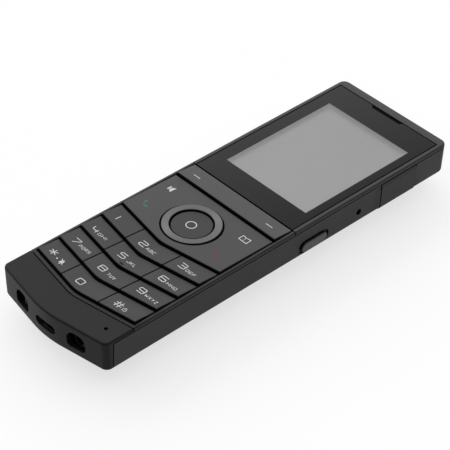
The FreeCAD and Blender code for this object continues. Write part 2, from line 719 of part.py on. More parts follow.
def make_rear_housing():
    """Side walls and crowned back, with the battery bay, the clip's recess and the screw bosses."""
    side = ("-Places.body_half - 5", "Places.body_half + 5")
    outer = skin("rear_skin", 0.0, 0.0, "Places.wall_top")
    hollow = skin("rear_hollow", -value("Sizes.side_wall"), value("Sizes.back_wall"), "Places.front + 1")
    wall = "Sizes.bay_wall"
    bay_block = box("bay_block", (f"-Places.bay_half - {wall}", f"Places.bay_half + {wall}"),
                    (f"Places.bay_low - {wall}", f"Places.bay_high + {wall}"), ("-1", "Places.bay_roof"))
    shell = "Sizes.back_wall"
    roof = ("-1", "Sizes.crown_depth + Sizes.saddle_wall")
    channel_block = box("channel_block", (f"-Sizes.channel_half - {shell}", f"Sizes.channel_half + {shell}"),
                        ("Places.arm_high", f"Places.channel_high + {shell}"), roof)
    saddle_block = box("saddle_block", side, (f"Places.channel_low - {shell}",
                                              f"Places.arm_high + Sizes.clip_gap + {shell}"), roof)
    posts = []
    holes = []
    for number, (x, y) in enumerate(screw_places()):
        posts.append(cylinder(f"rear_post_{number}", (x, y, "-1"), "Places.board_low", "Sizes.boss_radius"))
        holes.append(cylinder(f"head_hole_{number}", (x, y, "-5"), "Sizes.crown_depth + 7.5",
                              "Sizes.head_radius + 0.2"))
        holes.append(cylinder(f"shank_hole_{number}", (x, y, "-5"), "Places.front + 5",
                              "Sizes.screw_radius + 0.15"))
    door_block = box("door_block", ("-Sizes.door_tab_half - 1.2", "Sizes.door_tab_half + 1.2"),
                     ("Places.door_low - 1.2", "Places.bay_low"), ("-1", "2 * Sizes.back_wall + 0.5"))
    room = cut("rear_room", hollow, bay_block, channel_block, saddle_block, door_block, *posts)
    below_split = box("below_split", side, ("Places.low_end - 5", "Places.cap_split + Sizes.seam"),
                      ("-5", "Places.front + 5"))
    bay = box("bay_space", ("-Places.bay_half", "Places.bay_half"), ("Places.bay_low", "Places.bay_high"),
              ("-5", "Places.bay_top"))
    door = box("door_space", ("-Sizes.door_tab_half", "Sizes.door_tab_half"),
               ("Places.door_low", "Places.bay_low + 0.5"), ("-5", "Sizes.back_wall + 0.5"))
    channel = box("channel_space", ("-Sizes.channel_half", "Sizes.channel_half"),
                  ("Places.arm_high", "Places.channel_high"), ("-5", "Sizes.crown_depth"))
    band_span = ("Places.arm_low - Sizes.clip_gap", "Places.arm_high + Sizes.clip_gap")
    saddle = box("saddle_space", side, ("Places.channel_low", band_span[1]), ("-5", "Sizes.crown_depth"))
    seats = []
    for number, span in enumerate(both_sides("Places.body_half - Sizes.arm_recess", "Places.body_half + 9")):
        seats.append(box(f"arm_seat_{number}", span, band_span, ("Sizes.crown_depth - 1", "Places.front + 1")))
    slots = []
    for number in range(-2, 3):
        y = f"(Places.speaker_low + Places.speaker_high) / 2 + {number} * Sizes.slot_pitch"
        slots.append(block(f"speaker_slot_{number + 2}", ("-Sizes.slot_half", "Sizes.slot_half"),
                           (f"{y} - Sizes.slot_width / 2", f"{y} + Sizes.slot_width / 2"), ("-2", "3"),
                           radius="Sizes.slot_width / 2 - 0.01"))
    hole = cylinder("side_hole", ("Places.inner_half - 2", "Places.side_hole_y", "Places.side_hole_z"), "6",
                    "Sizes.side_hole", axis="x")
    return cut("rear_housing_blank", fuse("rear_outer", outer, *make_shoulders()), room, below_split, bay, door,
               channel, saddle, hole, *seats, *slots, *side_key_cuts(), *holes)


def make_battery_door():
    """The part of the crowned back that closes the battery bay."""
    outer = skin("door_skin", 0.0, 0.0, "Places.wall_top")
    hollow = skin("door_hollow", -value("Sizes.side_wall"), value("Sizes.back_wall"), "Places.front + 1")
    lid = block("door_lid", ("-Places.bay_half + Sizes.fit", "Places.bay_half - Sizes.fit"),
                ("Places.bay_low + Sizes.fit", "Places.bay_high - Sizes.fit"), ("-5", "Sizes.crown_depth"),
                radius="0.6")
    tab = box("door_tab", ("-Sizes.door_tab_half + Sizes.fit", "Sizes.door_tab_half - Sizes.fit"),
              ("Places.door_low + Sizes.fit", "Places.bay_low + 1"), ("-5", "Sizes.crown_depth"))
    return cut("battery_door", common("door_blank", outer, fuse("door_region", lid, tab)), hollow)


# Glass, display and receiver


def make_glass_lens():
    """Flat window with the receiver notch in its upper edge."""
    body = block("glass_lens", ("-Places.glass_half", "Places.glass_half"),
                 ("Places.glass_low", "Places.glass_high"), ("Places.parting", "Places.front"),
                 radius="Sizes.lens_round")
    doc.recompute()
    sketch = place_sketch(body, "receiver_notch", "z", "Places.parting")
    draw_polygon(sketch, notch_points())
    add_pocket(body, "receiver_notch_cut", sketch)
    return body


def make_receiver_mesh():
    """Woven strip that closes the receiver notch, just below the glass."""
    play = "0.1"
    outer = f"Sizes.notch_long / 2 - Sizes.fit - {play}"
    inner = f"Sizes.notch_short / 2 - {play}"
    level = f"Places.glass_high - Sizes.notch_depth + {play}"
    points = [(f"-({outer})", "Places.glass_high"), (f"-({inner})", level), (inner, level),
              (outer, "Places.glass_high")]
    return prism("receiver_mesh", points, "Places.parting", "Places.front - 0.35")


def make_display_module():
    return block("display_module",
                 ("-Sizes.screen_width / 2 - Sizes.display_side", "Sizes.screen_width / 2 + Sizes.display_side"),
                 ("Places.screen_low - Sizes.display_tail", "Places.screen_high + Sizes.display_side"),
                 ("Places.display_low", "Places.display_high"), radius="0.5")


def make_receiver():
    return block("receiver", ("-Sizes.receiver_half", "Sizes.receiver_half"),
                 ("Places.receiver_low", "Places.receiver_low + Sizes.receiver_width"),
                 ("Places.plate_low - 0.05 - Sizes.receiver_thick", "Places.plate_low - 0.05"), radius="1.4")


# Keys


def key_profile(body, base, across):
    """Side view of a number key where it meets a distance from the middle."""
    low = f"{vee(base, across)} + Sizes.row_gap / 2"
    high = f"{vee(base, across)} + Sizes.row_pitch - Sizes.row_gap / 2"
    sketch = place_sketch(body, body.Label + "_profile", "x", across)
    draw_polygon(sketch, [(low, "Places.key_low"), (high, "Places.key_low"), (high, "Places.front"),
                          (low, "Places.front + Sizes.key_rise")])
    return sketch


def mirror_across(body, name, features):
    """The features again on the other side of the middle."""
    mirror = body.newObject("PartDesign::Mirrored", name)
    mirror.Originals = features
    mirror.MirrorPlane = (plane_of(body, "YZ_Plane"), [""])
    body.Tip = mirror
    doc.recompute()
    return mirror


def round_key(body):
    """Small fillets on the key's upper edges and its upright corners."""
    top = value("Places.front") - 0.05

    def on_rim(edge):
        first, last = edge.Vertexes[0].Point, edge.Vertexes[-1].Point
        corner = abs(first.z - last.z) > 0.8 and edge.Length < 2.0
        smooth = corner and abs(edge.CenterOfMass.x) < value("Sizes.row_vertex_round") * 0.25
        seam = edge.BoundBox.XLength < 0.01 and abs(edge.CenterOfMass.x) < value("Sizes.key_split") - 1
        inner = edge.BoundBox.YLength > 3 and abs(edge.CenterOfMass.x) < value("Sizes.key_split") - 1
        return (edge.CenterOfMass.z > top or corner) and not smooth and not seam and not inner

    round_edges(body, body.Label + "_edges", "Sizes.key_round", on_rim)


def outer_key(label, row, side):
    """Wedge key of an outer column, swept along its chevron line: side 1 is right, -1 left."""
    base = f"Places.row_zero + {row} * Sizes.row_pitch"
    inner = "Sizes.key_split + Sizes.key_gap / 2"
    body = new_body(label)
    sweep = add_pad(body, label + "_sweep", key_profile(body, base, inner), f"Places.key_half - ({inner})")
    sweep.UseCustomVector = True
    sweep.Direction = Vector(1, value("Sizes.vee_slope"), 0)
    sweep.setExpression("Direction.y", "Sizes.vee_slope")
    sweep.AlongSketchNormal = True
    if side < 0:
        mirror_across(body, label + "_mirror", [sweep])
        sketch = place_sketch(body, label + "_left_only", "z", "Places.key_low")
        draw_polygon(sketch, [("0", f"{base} - {FAR}"), (f"{FAR}", f"{base} - {FAR}"),
                              (f"{FAR}", f"{base} + {FAR}"), ("0", f"{base} + {FAR}")])
        add_pocket(body, label + "_left_cut", sketch)
    round_key(body)
    return body


def chevron_path(body, low):
    """Half of a chevron line from its rounded vertex, as a path for a sweep."""
    turn = "Sizes.row_vertex_round"
    steep = "sqrt(1 + Sizes.vee_slope ^ 2)"
    radius, slope, start = value(turn), value("Sizes.vee_slope"), value(low)
    lean = math.atan(slope)
    centre = Vector(0, start + radius, 0)
    ends = [centre + Vector(math.sin(a), -math.cos(a), 0) * radius for a in (0, lean / 2, lean)]
    path = place_sketch(body, body.Label + "_path", "z", "Places.key_low")
    path.addGeometry(Part.ArcOfCircle(*ends), False)
    run = "Sizes.key_split"
    path.addGeometry(Part.LineSegment(ends[2], ends[2] + Vector(1, slope, 0) * value(run)), False)
    path.addConstraint(Sketcher.Constraint("Coincident", 0, 2, 1, 1))
    bound = [
        ("DistanceX", 0, 3, "0"), ("DistanceY", 0, 3, f"{low} + {turn}"),
        ("DistanceX", 0, 1, "0"), ("DistanceY", 0, 1, low),
        ("DistanceX", 0, 2, f"{turn} * Sizes.vee_slope / {steep}"),
        ("DistanceX", 1, 2, f"{turn} * Sizes.vee_slope / {steep} + {run}"),
        ("DistanceY", 1, 2, f"{low} + {turn} - {turn} / {steep} + {run} * Sizes.vee_slope"),
    ]
    for kind, line, point, text in bound:
        number = path.addConstraint(Sketcher.Constraint(kind, -1, 1, line, point, value(text)))
        path.setExpression(f"Constraints[{number}]", text)
    return path


def middle_key(label, row):
    """Wedge key of the middle column, swept round the chevron's vertex."""
    base = f"Places.row_zero + {row} * Sizes.row_pitch"
    steep = "sqrt(1 + Sizes.vee_slope ^ 2)"
    low = f"{vee(base, '0')} + Sizes.row_gap / 2 + Sizes.row_vertex_round * ({steep} - 1)"
    high = f"{low} + (Sizes.row_pitch - Sizes.row_gap) / {steep}"
    body = new_body(label)
    profile = place_sketch(body, label + "_profile", "x", "0")
    draw_polygon(profile, [(low, "Places.key_low"), (high, "Places.key_low"), (high, "Places.front"),
                           (low, "Places.front + Sizes.key_rise")])
    path = chevron_path(body, low)
    doc.recompute()
    sweep = body.newObject("PartDesign::AdditivePipe", label + "_sweep")
    sweep.Profile = profile
    sweep.Spine = (path, ["Edge1", "Edge2"])
    mirror_across(body, label + "_mirror", [sweep])
    ends = place_sketch(body, label + "_ends", "z", "Places.key_low")
    for sign in ("", "-"):
        near = f"{sign}(Sizes.key_split - Sizes.key_gap / 2)"
        far = f"{sign}{FAR}"
        draw_polygon(ends, [(near, f"{low} - {FAR}"), (far, f"{low} - {FAR}"),
                            (far, f"{low} + {FAR}"), (near, f"{low} + {FAR}")])
    add_pocket(body, label + "_end_cut", ends)
    round_key(body)
    return body


def slanted_plate(label, low, high, peak_rise, tip=None):
    """Key plate as wide as the keypad, whose top falls from its lower edge to the front plane."""
    points = low + [("Places.key_half", high), ("-Places.key_half", high)]
    body = prism(label, points, "Places.key_low", f"Places.front + {peak_rise}", tip)
    doc.recompute()
    start = low[len(low) // 2][1]
    slant = place_sketch(body, label + "_slant", "x", "0")
    level = f"Places.front + {peak_rise}"
    draw_polygon(slant, [(start, level), (high, "Places.front"), (f"{high} + {FAR}", "Places.front"),
                         (f"{high} + {FAR}", f"{level} + {FAR}"), (start, f"{level} + {FAR}")])
    add_pocket(body, label + "_slant_cut", slant)
    return body


def make_nav_plate():
    """Function-key plate: chevron lower edge, straight upper edge, round opening for the ring."""
    start = "Places.nav_low + Sizes.row_gap / 2"
    low = [("-Places.key_half", vee(start, "Places.key_half")), ("0", vee(start, "0")),
           ("Places.key_half", vee(start, "Places.key_half"))]
    body = slanted_plate("nav_plate", low, "Places.soft_low - Sizes.row_gap / 2", "Sizes.key_rise",
                         "Sizes.row_vertex_round")
    sketch = place_sketch(body, "ring_opening", "z", "Places.key_low")
    draw_circle(sketch, ("0", "Places.nav_y"), "Sizes.ring_radius + Sizes.ring_gap")
    add_pocket(body, "ring_opening_cut", sketch)
    top = value("Places.front") - 0.05
    ring = value("Sizes.ring_radius")
    middle = Vector(0, value("Places.nav_y"), 0)

    def on_rim(edge):
        spot = edge.CenterOfMass
        return spot.z > top and Vector(spot.x, spot.y, 0).distanceToPoint(middle) > ring / 2

    round_edges(body, "nav_plate_edges", "Sizes.key_round", on_rim)
    return body


def make_soft_key_bar():
    """Bar between the function plate and the glass."""
    start = "Places.soft_low + Sizes.row_gap / 2"
    low = [("-Places.key_half", start), ("Places.key_half", start)]
    body = slanted_plate("soft_key_bar", low, "Places.glass_low - Sizes.key_gap", "Sizes.key_rise")
    top = value("Places.front") - 0.05
    round_edges(body, "soft_key_bar_edges", "Sizes.key_round", lambda edge: edge.CenterOfMass.z > top)
    return body


def make_ring_keys():
    """Four-way ring and the round key inside it."""
    spot = ("0", "Places.nav_y")
    ring = new_body("nav_ring")
    sketch = place_sketch(ring, "nav_ring_outline", "z", "Places.key_low")
    draw_circle(sketch, spot, "Sizes.ring_radius")
    draw_circle(sketch, spot, "Sizes.ring_radius - Sizes.ring_width")
    add_pad(ring, "nav_ring_pad", sketch, "Sizes.key_depth + Sizes.ring_rise")
    round_edges(ring, "nav_ring_edges", "0.3", above("Places.front + 0.1"))
    centre = new_body("centre_key")
    sketch = place_sketch(centre, "centre_key_outline", "z", "Places.key_low")
    draw_circle(sketch, spot, "Sizes.ring_radius - Sizes.ring_width - Sizes.centre_gap")
    add_pad(centre, "centre_key_pad", sketch, "Sizes.key_depth + Sizes.centre_rise")
    round_edges(centre, "centre_key_edges", "0.3", above("Places.front + 0.1"))
    return [ring, centre]


def field_points(margin):
    """Outline of the whole keypad, drawn in by a margin, inside the carrier's rails."""
    side = f"Places.inner_half - 1.0 - ({margin})"
    low = f"Places.row_zero + Sizes.row_gap + ({margin})"
    high = f"Places.glass_low - 1.2 - ({margin})"
    return [(f"-({side})", vee(low, side)), ("0", vee(low, "0")), (side, vee(low, side)),
            (side, high), (f"-({side})", high)]


def make_keypad_layers():
    """Rubber mat under the keys and the dome sheet under the mat."""
    mat = prism("keypad_mat", field_points("0"), "Places.mat_low", "Places.mat_high")
    sheet = prism("dome_sheet", field_points("0.6"), "Places.mat_low - 0.05 - Sizes.sheet_thick",
                  "Places.mat_low - 0.05")
    return [mat, sheet]


# Side keys and switches


def side_piece(label, y, length, span, flange_span):
    """Side key: pill-shaped cap with a wider flange inside the wall."""
    cap = slot_body(label + "_cap", (y, "Places.side_key_z"), length, "Sizes.side_key_height", span)
    outer = max(abs(value(text)) for text in span) - 0.01
    round_edges(cap, label + "_cap_edge", "0.35", lambda edge: abs(edge.CenterOfMass.x) > outer)
    flange = block(label + "_flange", flange_span,
                   (f"{y} - ({length}) / 2 - 0.8", f"{y} + ({length}) / 2 + 0.8"),
                   ("Places.side_key_z - Sizes.side_key_height / 2 + 0.6",
                    "Places.side_key_z + Sizes.side_key_height / 2 + 0.6"))
    return fuse(label, cap, flange)


def make_side_keys():
    """Side key on the right and volume rocker on the left."""
    wall = "Places.inner_half - Sizes.wall_draft"
    caps = both_sides(f"{wall} - 0.5", "Places.body_half + Sizes.side_key_proud")
    flanges = both_sides(f"{wall} - 0.9", f"{wall} - 0.3")
    right = side_piece("side_key", "Places.side_key_y", "Sizes.side_key_length", caps[0], flanges[0])
    left = side_piece("volume_rocker", "Places.rocker_y", "Sizes.rocker_length", caps[1], flanges[1])
    return [right, left]


def switch_at(label, y, side):
    """Tact switch: square can and round plunger facing the side wall."""
    face = "Places.inner_half - Sizes.wall_draft - 0.9 - Sizes.side_travel"
    span = both_sides(f"{face} - 2.1", f"{face} - 0.4")[side]
    tip = both_sides(f"{face} - 0.4", f"{face} - 0.1")[side]
    can = block(label + "_can", span, (f"{y} - 1.9", f"{y} + 1.9"),
                ("Places.side_key_z - 1.4", "Places.side_key_z + 1.4"), radius="0.3", axis="x")
    plunger = cylinder(label + "_plunger", (tip[0], y, "Places.side_key_z"), "0.3", "0.8", axis="x")
    return fuse(label, can, plunger)


def compound(label, items):
    """Identical pieces kept as separate solids in one node."""
    doc.recompute()
    group = doc.addObject("Part::Compound", label)
    group.Links = items
    return group


def make_switches():
    right = switch_at("side_switch", "Places.side_key_y", 0)
    low = switch_at("volume_switch_low", "Places.rocker_y - Sizes.rocker_length / 4 - 1", 1)
    high = switch_at("volume_switch_high", "Places.rocker_y + Sizes.rocker_length / 4 + 1", 1)
    return [right, compound("volume_switches", [low, high])]


# Boards and what they carry


def make_main_board():
    """Circuit board with a narrower tongue over the ports."""
    side = "Places.inner_half - 1.0"
    tongue = "Sizes.port_spread - 2.9"
    low = "Places.board_foot"
    high = "Places.receiver_low - 0.4"
    tip = "Places.cap_split + 1.2"
    return prism("main_board", [
        (f"-({tongue})", tip), (tongue, tip), (tongue, low), (side, low), (side, high),
        (f"-({side})", high), (f"-({side})", low), (f"-({tongue})", low),
    ], "Places.board_low", "Places.board_top")


def make_shield_can():
    """Radio shield under the board, above the clip's recess."""
    return block("shield_can", ("-15", "15"), ("Places.shield_low", "Places.shield_low + 26"),
                 ("Places.board_low - 2.0", "Places.board_low"), radius="0.8")


def make_battery_parts():
    """Battery pack and the contact block at its upper end."""
    low = "Places.bay_low + Sizes.bay_gap"
    high = f"{low} + Sizes.battery_length"
    level = "Sizes.battery_level"
    battery = block("battery", ("-Sizes.battery_half", "Sizes.battery_half"), (low, high),
                    (level, f"{level} + Sizes.battery_thick"), radius="1.2")
    contacts = block("battery_contacts", ("-4.5", "4.5"), (f"{high} + 0.1", "Places.bay_high"),
                     (f"{level} + 1.2", f"{level} + 4.2"), radius="0.3")
    return [battery, contacts]


def make_speakers():
    """Loudspeaker behind the slots in the back, both microphones and the buzzer motor."""
    speaker = block("loudspeaker", ("-Sizes.speaker_half", "Sizes.speaker_half"),
                    ("Places.speaker_low + Sizes.fit", "Places.speaker_high"),
                    ("Sizes.back_wall + 0.05", "Sizes.back_wall + 0.05 + Sizes.speaker_thick"), radius="1.5")
    microphone = cylinder("microphone", ("Sizes.mic_across", "Places.mic_y", "Places.plate_low - 1.6"), "1.5", "2")
    side = cylinder("second_microphone",
                    ("Places.inner_half - Sizes.wall_draft - 1.7", "Places.side_hole_y", "Places.side_hole_z"),
                    "1.5", "2", axis="x")
    motor = cylinder("vibration_motor", ("Places.inner_half - 7", "Places.shield_low - 4.5", "Places.board_low - 2.7"),
                     "2.7", "4")
    return [speaker, microphone, side, motor]


def make_antenna():
    """Metal strip standing inside the screen end, with a foot on the board."""
    wall = "Places.top_end - Sizes.side_wall - Sizes.wall_draft - 0.3"
    strip = box("antenna_strip", ("Sizes.receiver_half + 0.8", "Sizes.screw_across - Sizes.boss_radius - 0.6"),
                (f"{wall} - 0.3", wall), ("Places.board_low - 4", "Places.board_top + 0.2"))
    foot = box("antenna_foot", ("Sizes.receiver_half + 0.8", "Sizes.receiver_half + 3.4"),
               ("Places.screw_top_y - Sizes.boss_radius - 2.6", wall), ("Places.board_top", "Places.board_top + 0.2"))
    return fuse("antenna", strip, foot)


def make_seal_ring():
    """Soft strip in the top of the rear wall, open at the cap."""
    outer = plate_under("seal_outer", "Sizes.side_wall - 0.65", "Places.wall_top - 0.35", "Places.wall_top")
    inner = plate_under("seal_inner", "Sizes.side_wall - 0.25", "Places.wall_top - 1", "Places.wall_top + 1")
    lower = box("seal_end", ("-Places.body_half - 5", "Places.body_half + 5"),
                ("Places.low_end - 5", "Places.cap_split + 1.2"), ("0", "Places.front + 5"))
    return cut("seal_ring", outer, inner, lower)


def seal_groove():
    """Seat of the seal in the rear wall, a little wider than the seal."""
    outer = plate_under("groove_outer", "Sizes.side_wall - 0.68", "Places.wall_top - 0.38", "Places.wall_top + 0.5")
    inner = plate_under("groove_inner", "Sizes.side_wall - 0.22", "Places.wall_top - 1", "Places.wall_top + 1")
    lower = box("groove_end", ("-Places.body_half - 5", "Places.body_half + 5"),
                ("Places.low_end - 5", "Places.cap_split + 1.17"), ("0", "Places.front + 5"))
    return cut("seal_groove", outer, inner, lower)


# Sockets


def make_usb_receptacle():
    """Data socket: oval shell with a tongue, on a base under the board's tongue."""
    front = "Places.low_end + 1.3"
    back = f"{front} + Sizes.socket_length"
    half = "Sizes.socket_width / 2"
    tall = "Sizes.socket_height / 2"
    shell = block("socket_shell", (f"-{half}", half), (front, back),
                  (f"Places.socket_z - {tall}", f"Places.socket_z + {tall}"), radius=f"{tall} - 0.01", axis="y")
    wall = "Sizes.socket_wall"
    mouth = block("socket_mouth", (f"-{half} + {wall}", f"{half} - {wall}"), (f"{front} - 1", f"{back} - 1.2"),
                  (f"Places.socket_z - {tall} + {wall}", f"Places.socket_z + {tall} - {wall}"),
                  radius=f"{tall} - {wall} - 0.01", axis="y")
    tongue = box("socket_tongue", ("-3.35", "3.35"), (f"{front} + 0.9", f"{back} - 1"),
                 ("Places.socket_z - 0.35", "Places.socket_z + 0.35"))
    base = box("socket_base", (f"-{half} + 0.6", f"{half} - 0.6"), ("Places.cap_split + 1.4", back),
               (f"Places.socket_z + {tall} - 0.1", "Places.board_low"))
    return fuse("usb_receptacle", cut("socket_tube", shell, mouth), tongue, base)


def make_headset_jack():
    """Headset socket: block beside the board's tongue with a foot under the board and a nose behind the port."""
    nose = "Places.low_end + Sizes.vee_slope * Sizes.port_spread + 1.5"
    back = f"{nose} + Sizes.jack_length"
    x = "Sizes.port_spread"
    barrel = cylinder("jack_nose", (x, nose, "Places.port_z"), "3", "Sizes.port_height / 2 - 0.35", axis="y")
    body = box("jack_body", (f"{x} - 2.6", f"{x} + 2.6"), (f"{nose} + 2.6", back),
               ("Places.port_z - 2.4", "Places.port_z + 2.4"))
    foot = box("jack_foot", (f"{x} - 2.6", f"{x} + 2.6"), (f"{back} - 1", "Places.board_foot + 2"),
               ("Places.board_low - 1.2", "Places.board_low"))
    bore = cylinder("jack_bore_cut", (x, f"{nose} - 1", "Places.port_z"), "Sizes.jack_length", "Sizes.jack_bore",
                    axis="y")
    return cut("headset_jack", fuse("jack_blank", barrel, body, foot), bore)


def make_lanyard_bar():
    x, y, z = lanyard_start()
    return cylinder("lanyard_bar", (x, y, f"{z} + 0.05"), "Sizes.port_height + 1.5", "Sizes.lanyard_pin")


# Screws


def screw(label, x, y, head_low, length):
    """Cross-head screw pointing up, its head down."""
    head = cylinder(label + "_head", (x, y, head_low), "Sizes.head_thick", "Sizes.head_radius")
    shank = cylinder(label + "_shank", (x, y, f"{head_low} + Sizes.head_thick - 0.2"), length,
                     "Sizes.screw_radius")
    slot_long = box(label + "_slot_long", (f"{x} - 0.9", f"{x} + 0.9"), (f"{y} - 0.16", f"{y} + 0.16"),
                    (f"{head_low} - 1", f"{head_low} + 0.45"))
    slot_wide = box(label + "_slot_wide", (f"{x} - 0.16", f"{x} + 0.16"), (f"{y} - 0.9", f"{y} + 0.9"),
                    (f"{head_low} - 1", f"{head_low} + 0.45"))
    return cut(label, fuse(label + "_blank", head, shank), slot_long, slot_wide)


def make_screws():
    """The four housing screws, in one node."""
    level = "Sizes.crown_depth + 2.5 - Sizes.head_thick"
    reach = f"Places.board_low + 0.5 - ({level}) - Sizes.head_thick + 0.2"
    housing = [screw(f"housing_screw_{n}", x, y, level, reach) for n, (x, y) in enumerate(screw_places())]
    return [compound("housing_screws", housing)]


# Belt clip


def make_clip_bracket():
    """U-shaped bracket: an arm up each side, lobes that carry on the crown, a base plate and two hinge lugs."""
    grown = skin("bracket_skin", value("Sizes.arm_proud"), 0.0, "Places.wall_top - 0.1")
    band = box("bracket_band", (f"-{FAR}", f"{FAR}"), ("Places.arm_low", "Places.arm_high"), ("-5", f"{FAR}"))
    slice_blank = common("bracket_slice", grown, band)
    inner = "Places.body_half - Sizes.arm_recess + 0.05"
    roof = "Sizes.crown_depth - Sizes.clip_gap"
    body_room = box("bracket_room", (f"-({inner})", inner), ("Places.arm_low - 5", "Places.arm_high + 5"),
                    (roof, "Places.front + 9"))
    middle = box("bracket_channel", ("-Sizes.lever_half - 0.8", "Sizes.lever_half + 0.8"),
                 ("Places.arm_low - 5", "Places.arm_high + 5"), ("-5", f"{roof} - Sizes.base_thick"))
    slopes = []
    top = "Places.wall_top - 0.1"
    face = "Places.body_half + Sizes.arm_proud"
    for name, side in (("right", ""), ("left", "-")):
        body = new_body(f"arm_slope_{name}")
        sketch = place_sketch(body, f"arm_slope_{name}_profile", "y", "Places.arm_high + 2")
        draw_polygon(sketch, [(f"{side}(Places.body_half + 0.02)", top),
                              (f"{side}({face} + 0.02)", f"{top} - Sizes.arm_slope"),
                              (f"{side}({face} + 3)", f"{top} - Sizes.arm_slope"),
                              (f"{side}({face} + 3)", f"{top} + 3"),
                              (f"{side}(Places.body_half + 0.02)", f"{top} + 3")])
        add_pad(body, f"arm_slope_{name}_pad", sketch, "Sizes.arm_width + 4")
        slopes.append(body)
    lugs = []
    bores = []
    half = "Sizes.lever_half - 3.3"
    hollow = cylinder("barrel_room", (f"-({half})", "Places.pin_y", "Sizes.pin_level"), f"2 * ({half})",
                      "Sizes.barrel_radius + Sizes.clip_gap", axis="x")
    for number, span in enumerate(both_sides(half, "Sizes.lever_half - 1.3")):
        lugs.append(cylinder(f"lug_eye_{number}", (span[0], "Places.pin_y", "Sizes.pin_level"), "2",
                             "Sizes.barrel_radius", axis="x"))
        lugs.append(box(f"lug_web_{number}", span,
                        ("Places.pin_y - Sizes.barrel_radius", "Places.pin_y + Sizes.barrel_radius"),
                        ("Sizes.pin_level", f"{roof} - 0.5")))
        bores.append(cylinder(f"lug_bore_{number}", (f"{span[0]} - 1", "Places.pin_y", "Sizes.pin_level"), "4",
                              "Sizes.pin_radius + 0.02", axis="x"))
    plate = cut("bracket_plate", slice_blank, body_room, middle, hollow, *slopes)
    return cut("clip_bracket", fuse("bracket_blank", plate, *lugs), *bores)


def make_clip_lever():
    """Flat spring-loaded lever with a tooth at its tip and a barrel on the pin."""
    low = "Sizes.lever_level"
    high = f"{low} + Sizes.lever_thick"
    leaf = block("lever_leaf", ("-Sizes.lever_half", "Sizes.lever_half"), ("Places.lever_low", "Places.lever_high"),
                 (low, high), radius="3.5")
    tooth = block("lever_tooth", ("-Sizes.lever_half + 2.5", "Sizes.lever_half - 2.5"),
                  ("Places.lever_low + 1.2", "Places.lever_low + 3.4"), (f"{high} - 0.3", f"{high} + 1.0"),
                  radius="0.5", axis="x")
    side = "Sizes.lever_half - 3.6"
    barrels = []
    for number, span in enumerate(both_sides("2.2", side)):
        barrels.append(cylinder(f"lever_barrel_{number}", (span[0], "Places.pin_y", "Sizes.pin_level"),
                                f"{side} - 2.2", "Sizes.barrel_radius", axis="x"))
        barrels.append(box(f"lever_web_{number}", span, ("Places.pin_y - 1.1", "Places.pin_y + 1.1"),
                           (f"{high} - 0.3", "Sizes.pin_level")))
    bore = cylinder("lever_bore", ("-10", "Places.pin_y", "Sizes.pin_level"), "20",
                    "Sizes.pin_radius + Sizes.running", axis="x")
    return cut("clip_lever", fuse("lever_blank", leaf, tooth, *barrels), bore)


def make_clip_hardware():
    """Hinge pin and the torsion spring round its middle."""
    pin = cylinder("clip_pin", ("-Sizes.lever_half + 1.2", "Places.pin_y", "Sizes.pin_level"),
                   "2 * Sizes.lever_half - 2.4", "Sizes.pin_radius", axis="x")
    coil = cylinder("spring_coil", ("-1.7", "Places.pin_y", "Sizes.pin_level"), "3.4",
                    "Sizes.barrel_radius - 0.1", axis="x")
    leg = box("spring_leg", ("-1.7", "-1.2"), ("Places.pin_y - 7", "Places.pin_y"),
              ("Sizes.pin_level + 0.3", "Sizes.pin_level + 0.35"))
    core = cylinder("spring_core", ("-3", "Places.pin_y", "Sizes.pin_level"), "6", "Sizes.pin_radius + 0.1",
                    axis="x")
    spring = cut("clip_spring", fuse("spring_blank", coil, leg), core)
    return [pin, spring]


# The whole phone


def build_phone():
    """Every sub-part, by its node's name."""
    slab = front_slab()
    parts = [
        make_front_housing(slab),
        make_keypad_bezel(slab),
        make_bottom_cap(slab),
        cut("rear_housing", make_rear_housing(), seal_groove()),
        make_battery_door(),
        make_glass_lens(),
        make_receiver_mesh(),
        make_display_module(),
        make_receiver(),
        make_nav_plate(),
        make_soft_key_bar(),
        make_main_board(),
        make_shield_can(),
        make_antenna(),
        make_seal_ring(),
        make_usb_receptacle(),
        make_headset_jack(),
        make_lanyard_bar(),
        make_clip_bracket(),
        make_clip_lever(),
    ]
    labels = ("key_star", "key_0", "key_hash", "key_7", "key_8", "key_9",
              "key_4", "key_5", "key_6", "key_1", "key_2", "key_3")
    for number, label in enumerate(labels):
        row, column = number // 3, number % 3 - 1
        parts.append(outer_key(label, row, column) if column else middle_key(label, row))
    for group in (make_ring_keys, make_keypad_layers, make_side_keys, make_switches, make_battery_parts,
                  make_speakers, make_screws, make_clip_hardware):
        parts.extend(group())
    return {part.Name: part for part in parts}


def check(parts):
    """Stops if any object failed or any sub-part is empty or not valid."""
    for item in doc.Objects:
        if "Invalid" in item.State or "Error" in item.State:
            raise RuntimeError(f"{item.Name} failed: {item.State}")
    for name, part in parts.items():
        if part.Shape.isNull() or not part.Shape.isValid() or not part.Shape.Solids:
            raise RuntimeError(f"{name} has no valid shape")


def write_parts(parts):
    os.makedirs("parts", exist_ok=True)
    for name, part in sorted(parts.items()):
        part.Shape.exportStep(os.path.join("parts", name + ".step"))
        bounds = part.Shape.BoundBox
        solids = len(part.Shape.Solids)
        print(f"{name:20s} solids {solids} volume {part.Shape.Volume:9.1f} "
              f"x {bounds.XMin:7.2f} {bounds.XMax:7.2f} y {bounds.YMin:7.2f} {bounds.YMax:7.2f} "
              f"z {bounds.ZMin:6.2f} {bounds.ZMax:6.2f}")


phone = build_phone()
doc.recompute()
check(phone)
write_parts(phone)
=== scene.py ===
import math

import bpy
from mathutils import Matrix, Vector
from mathutils.bvhtree import BVHTree


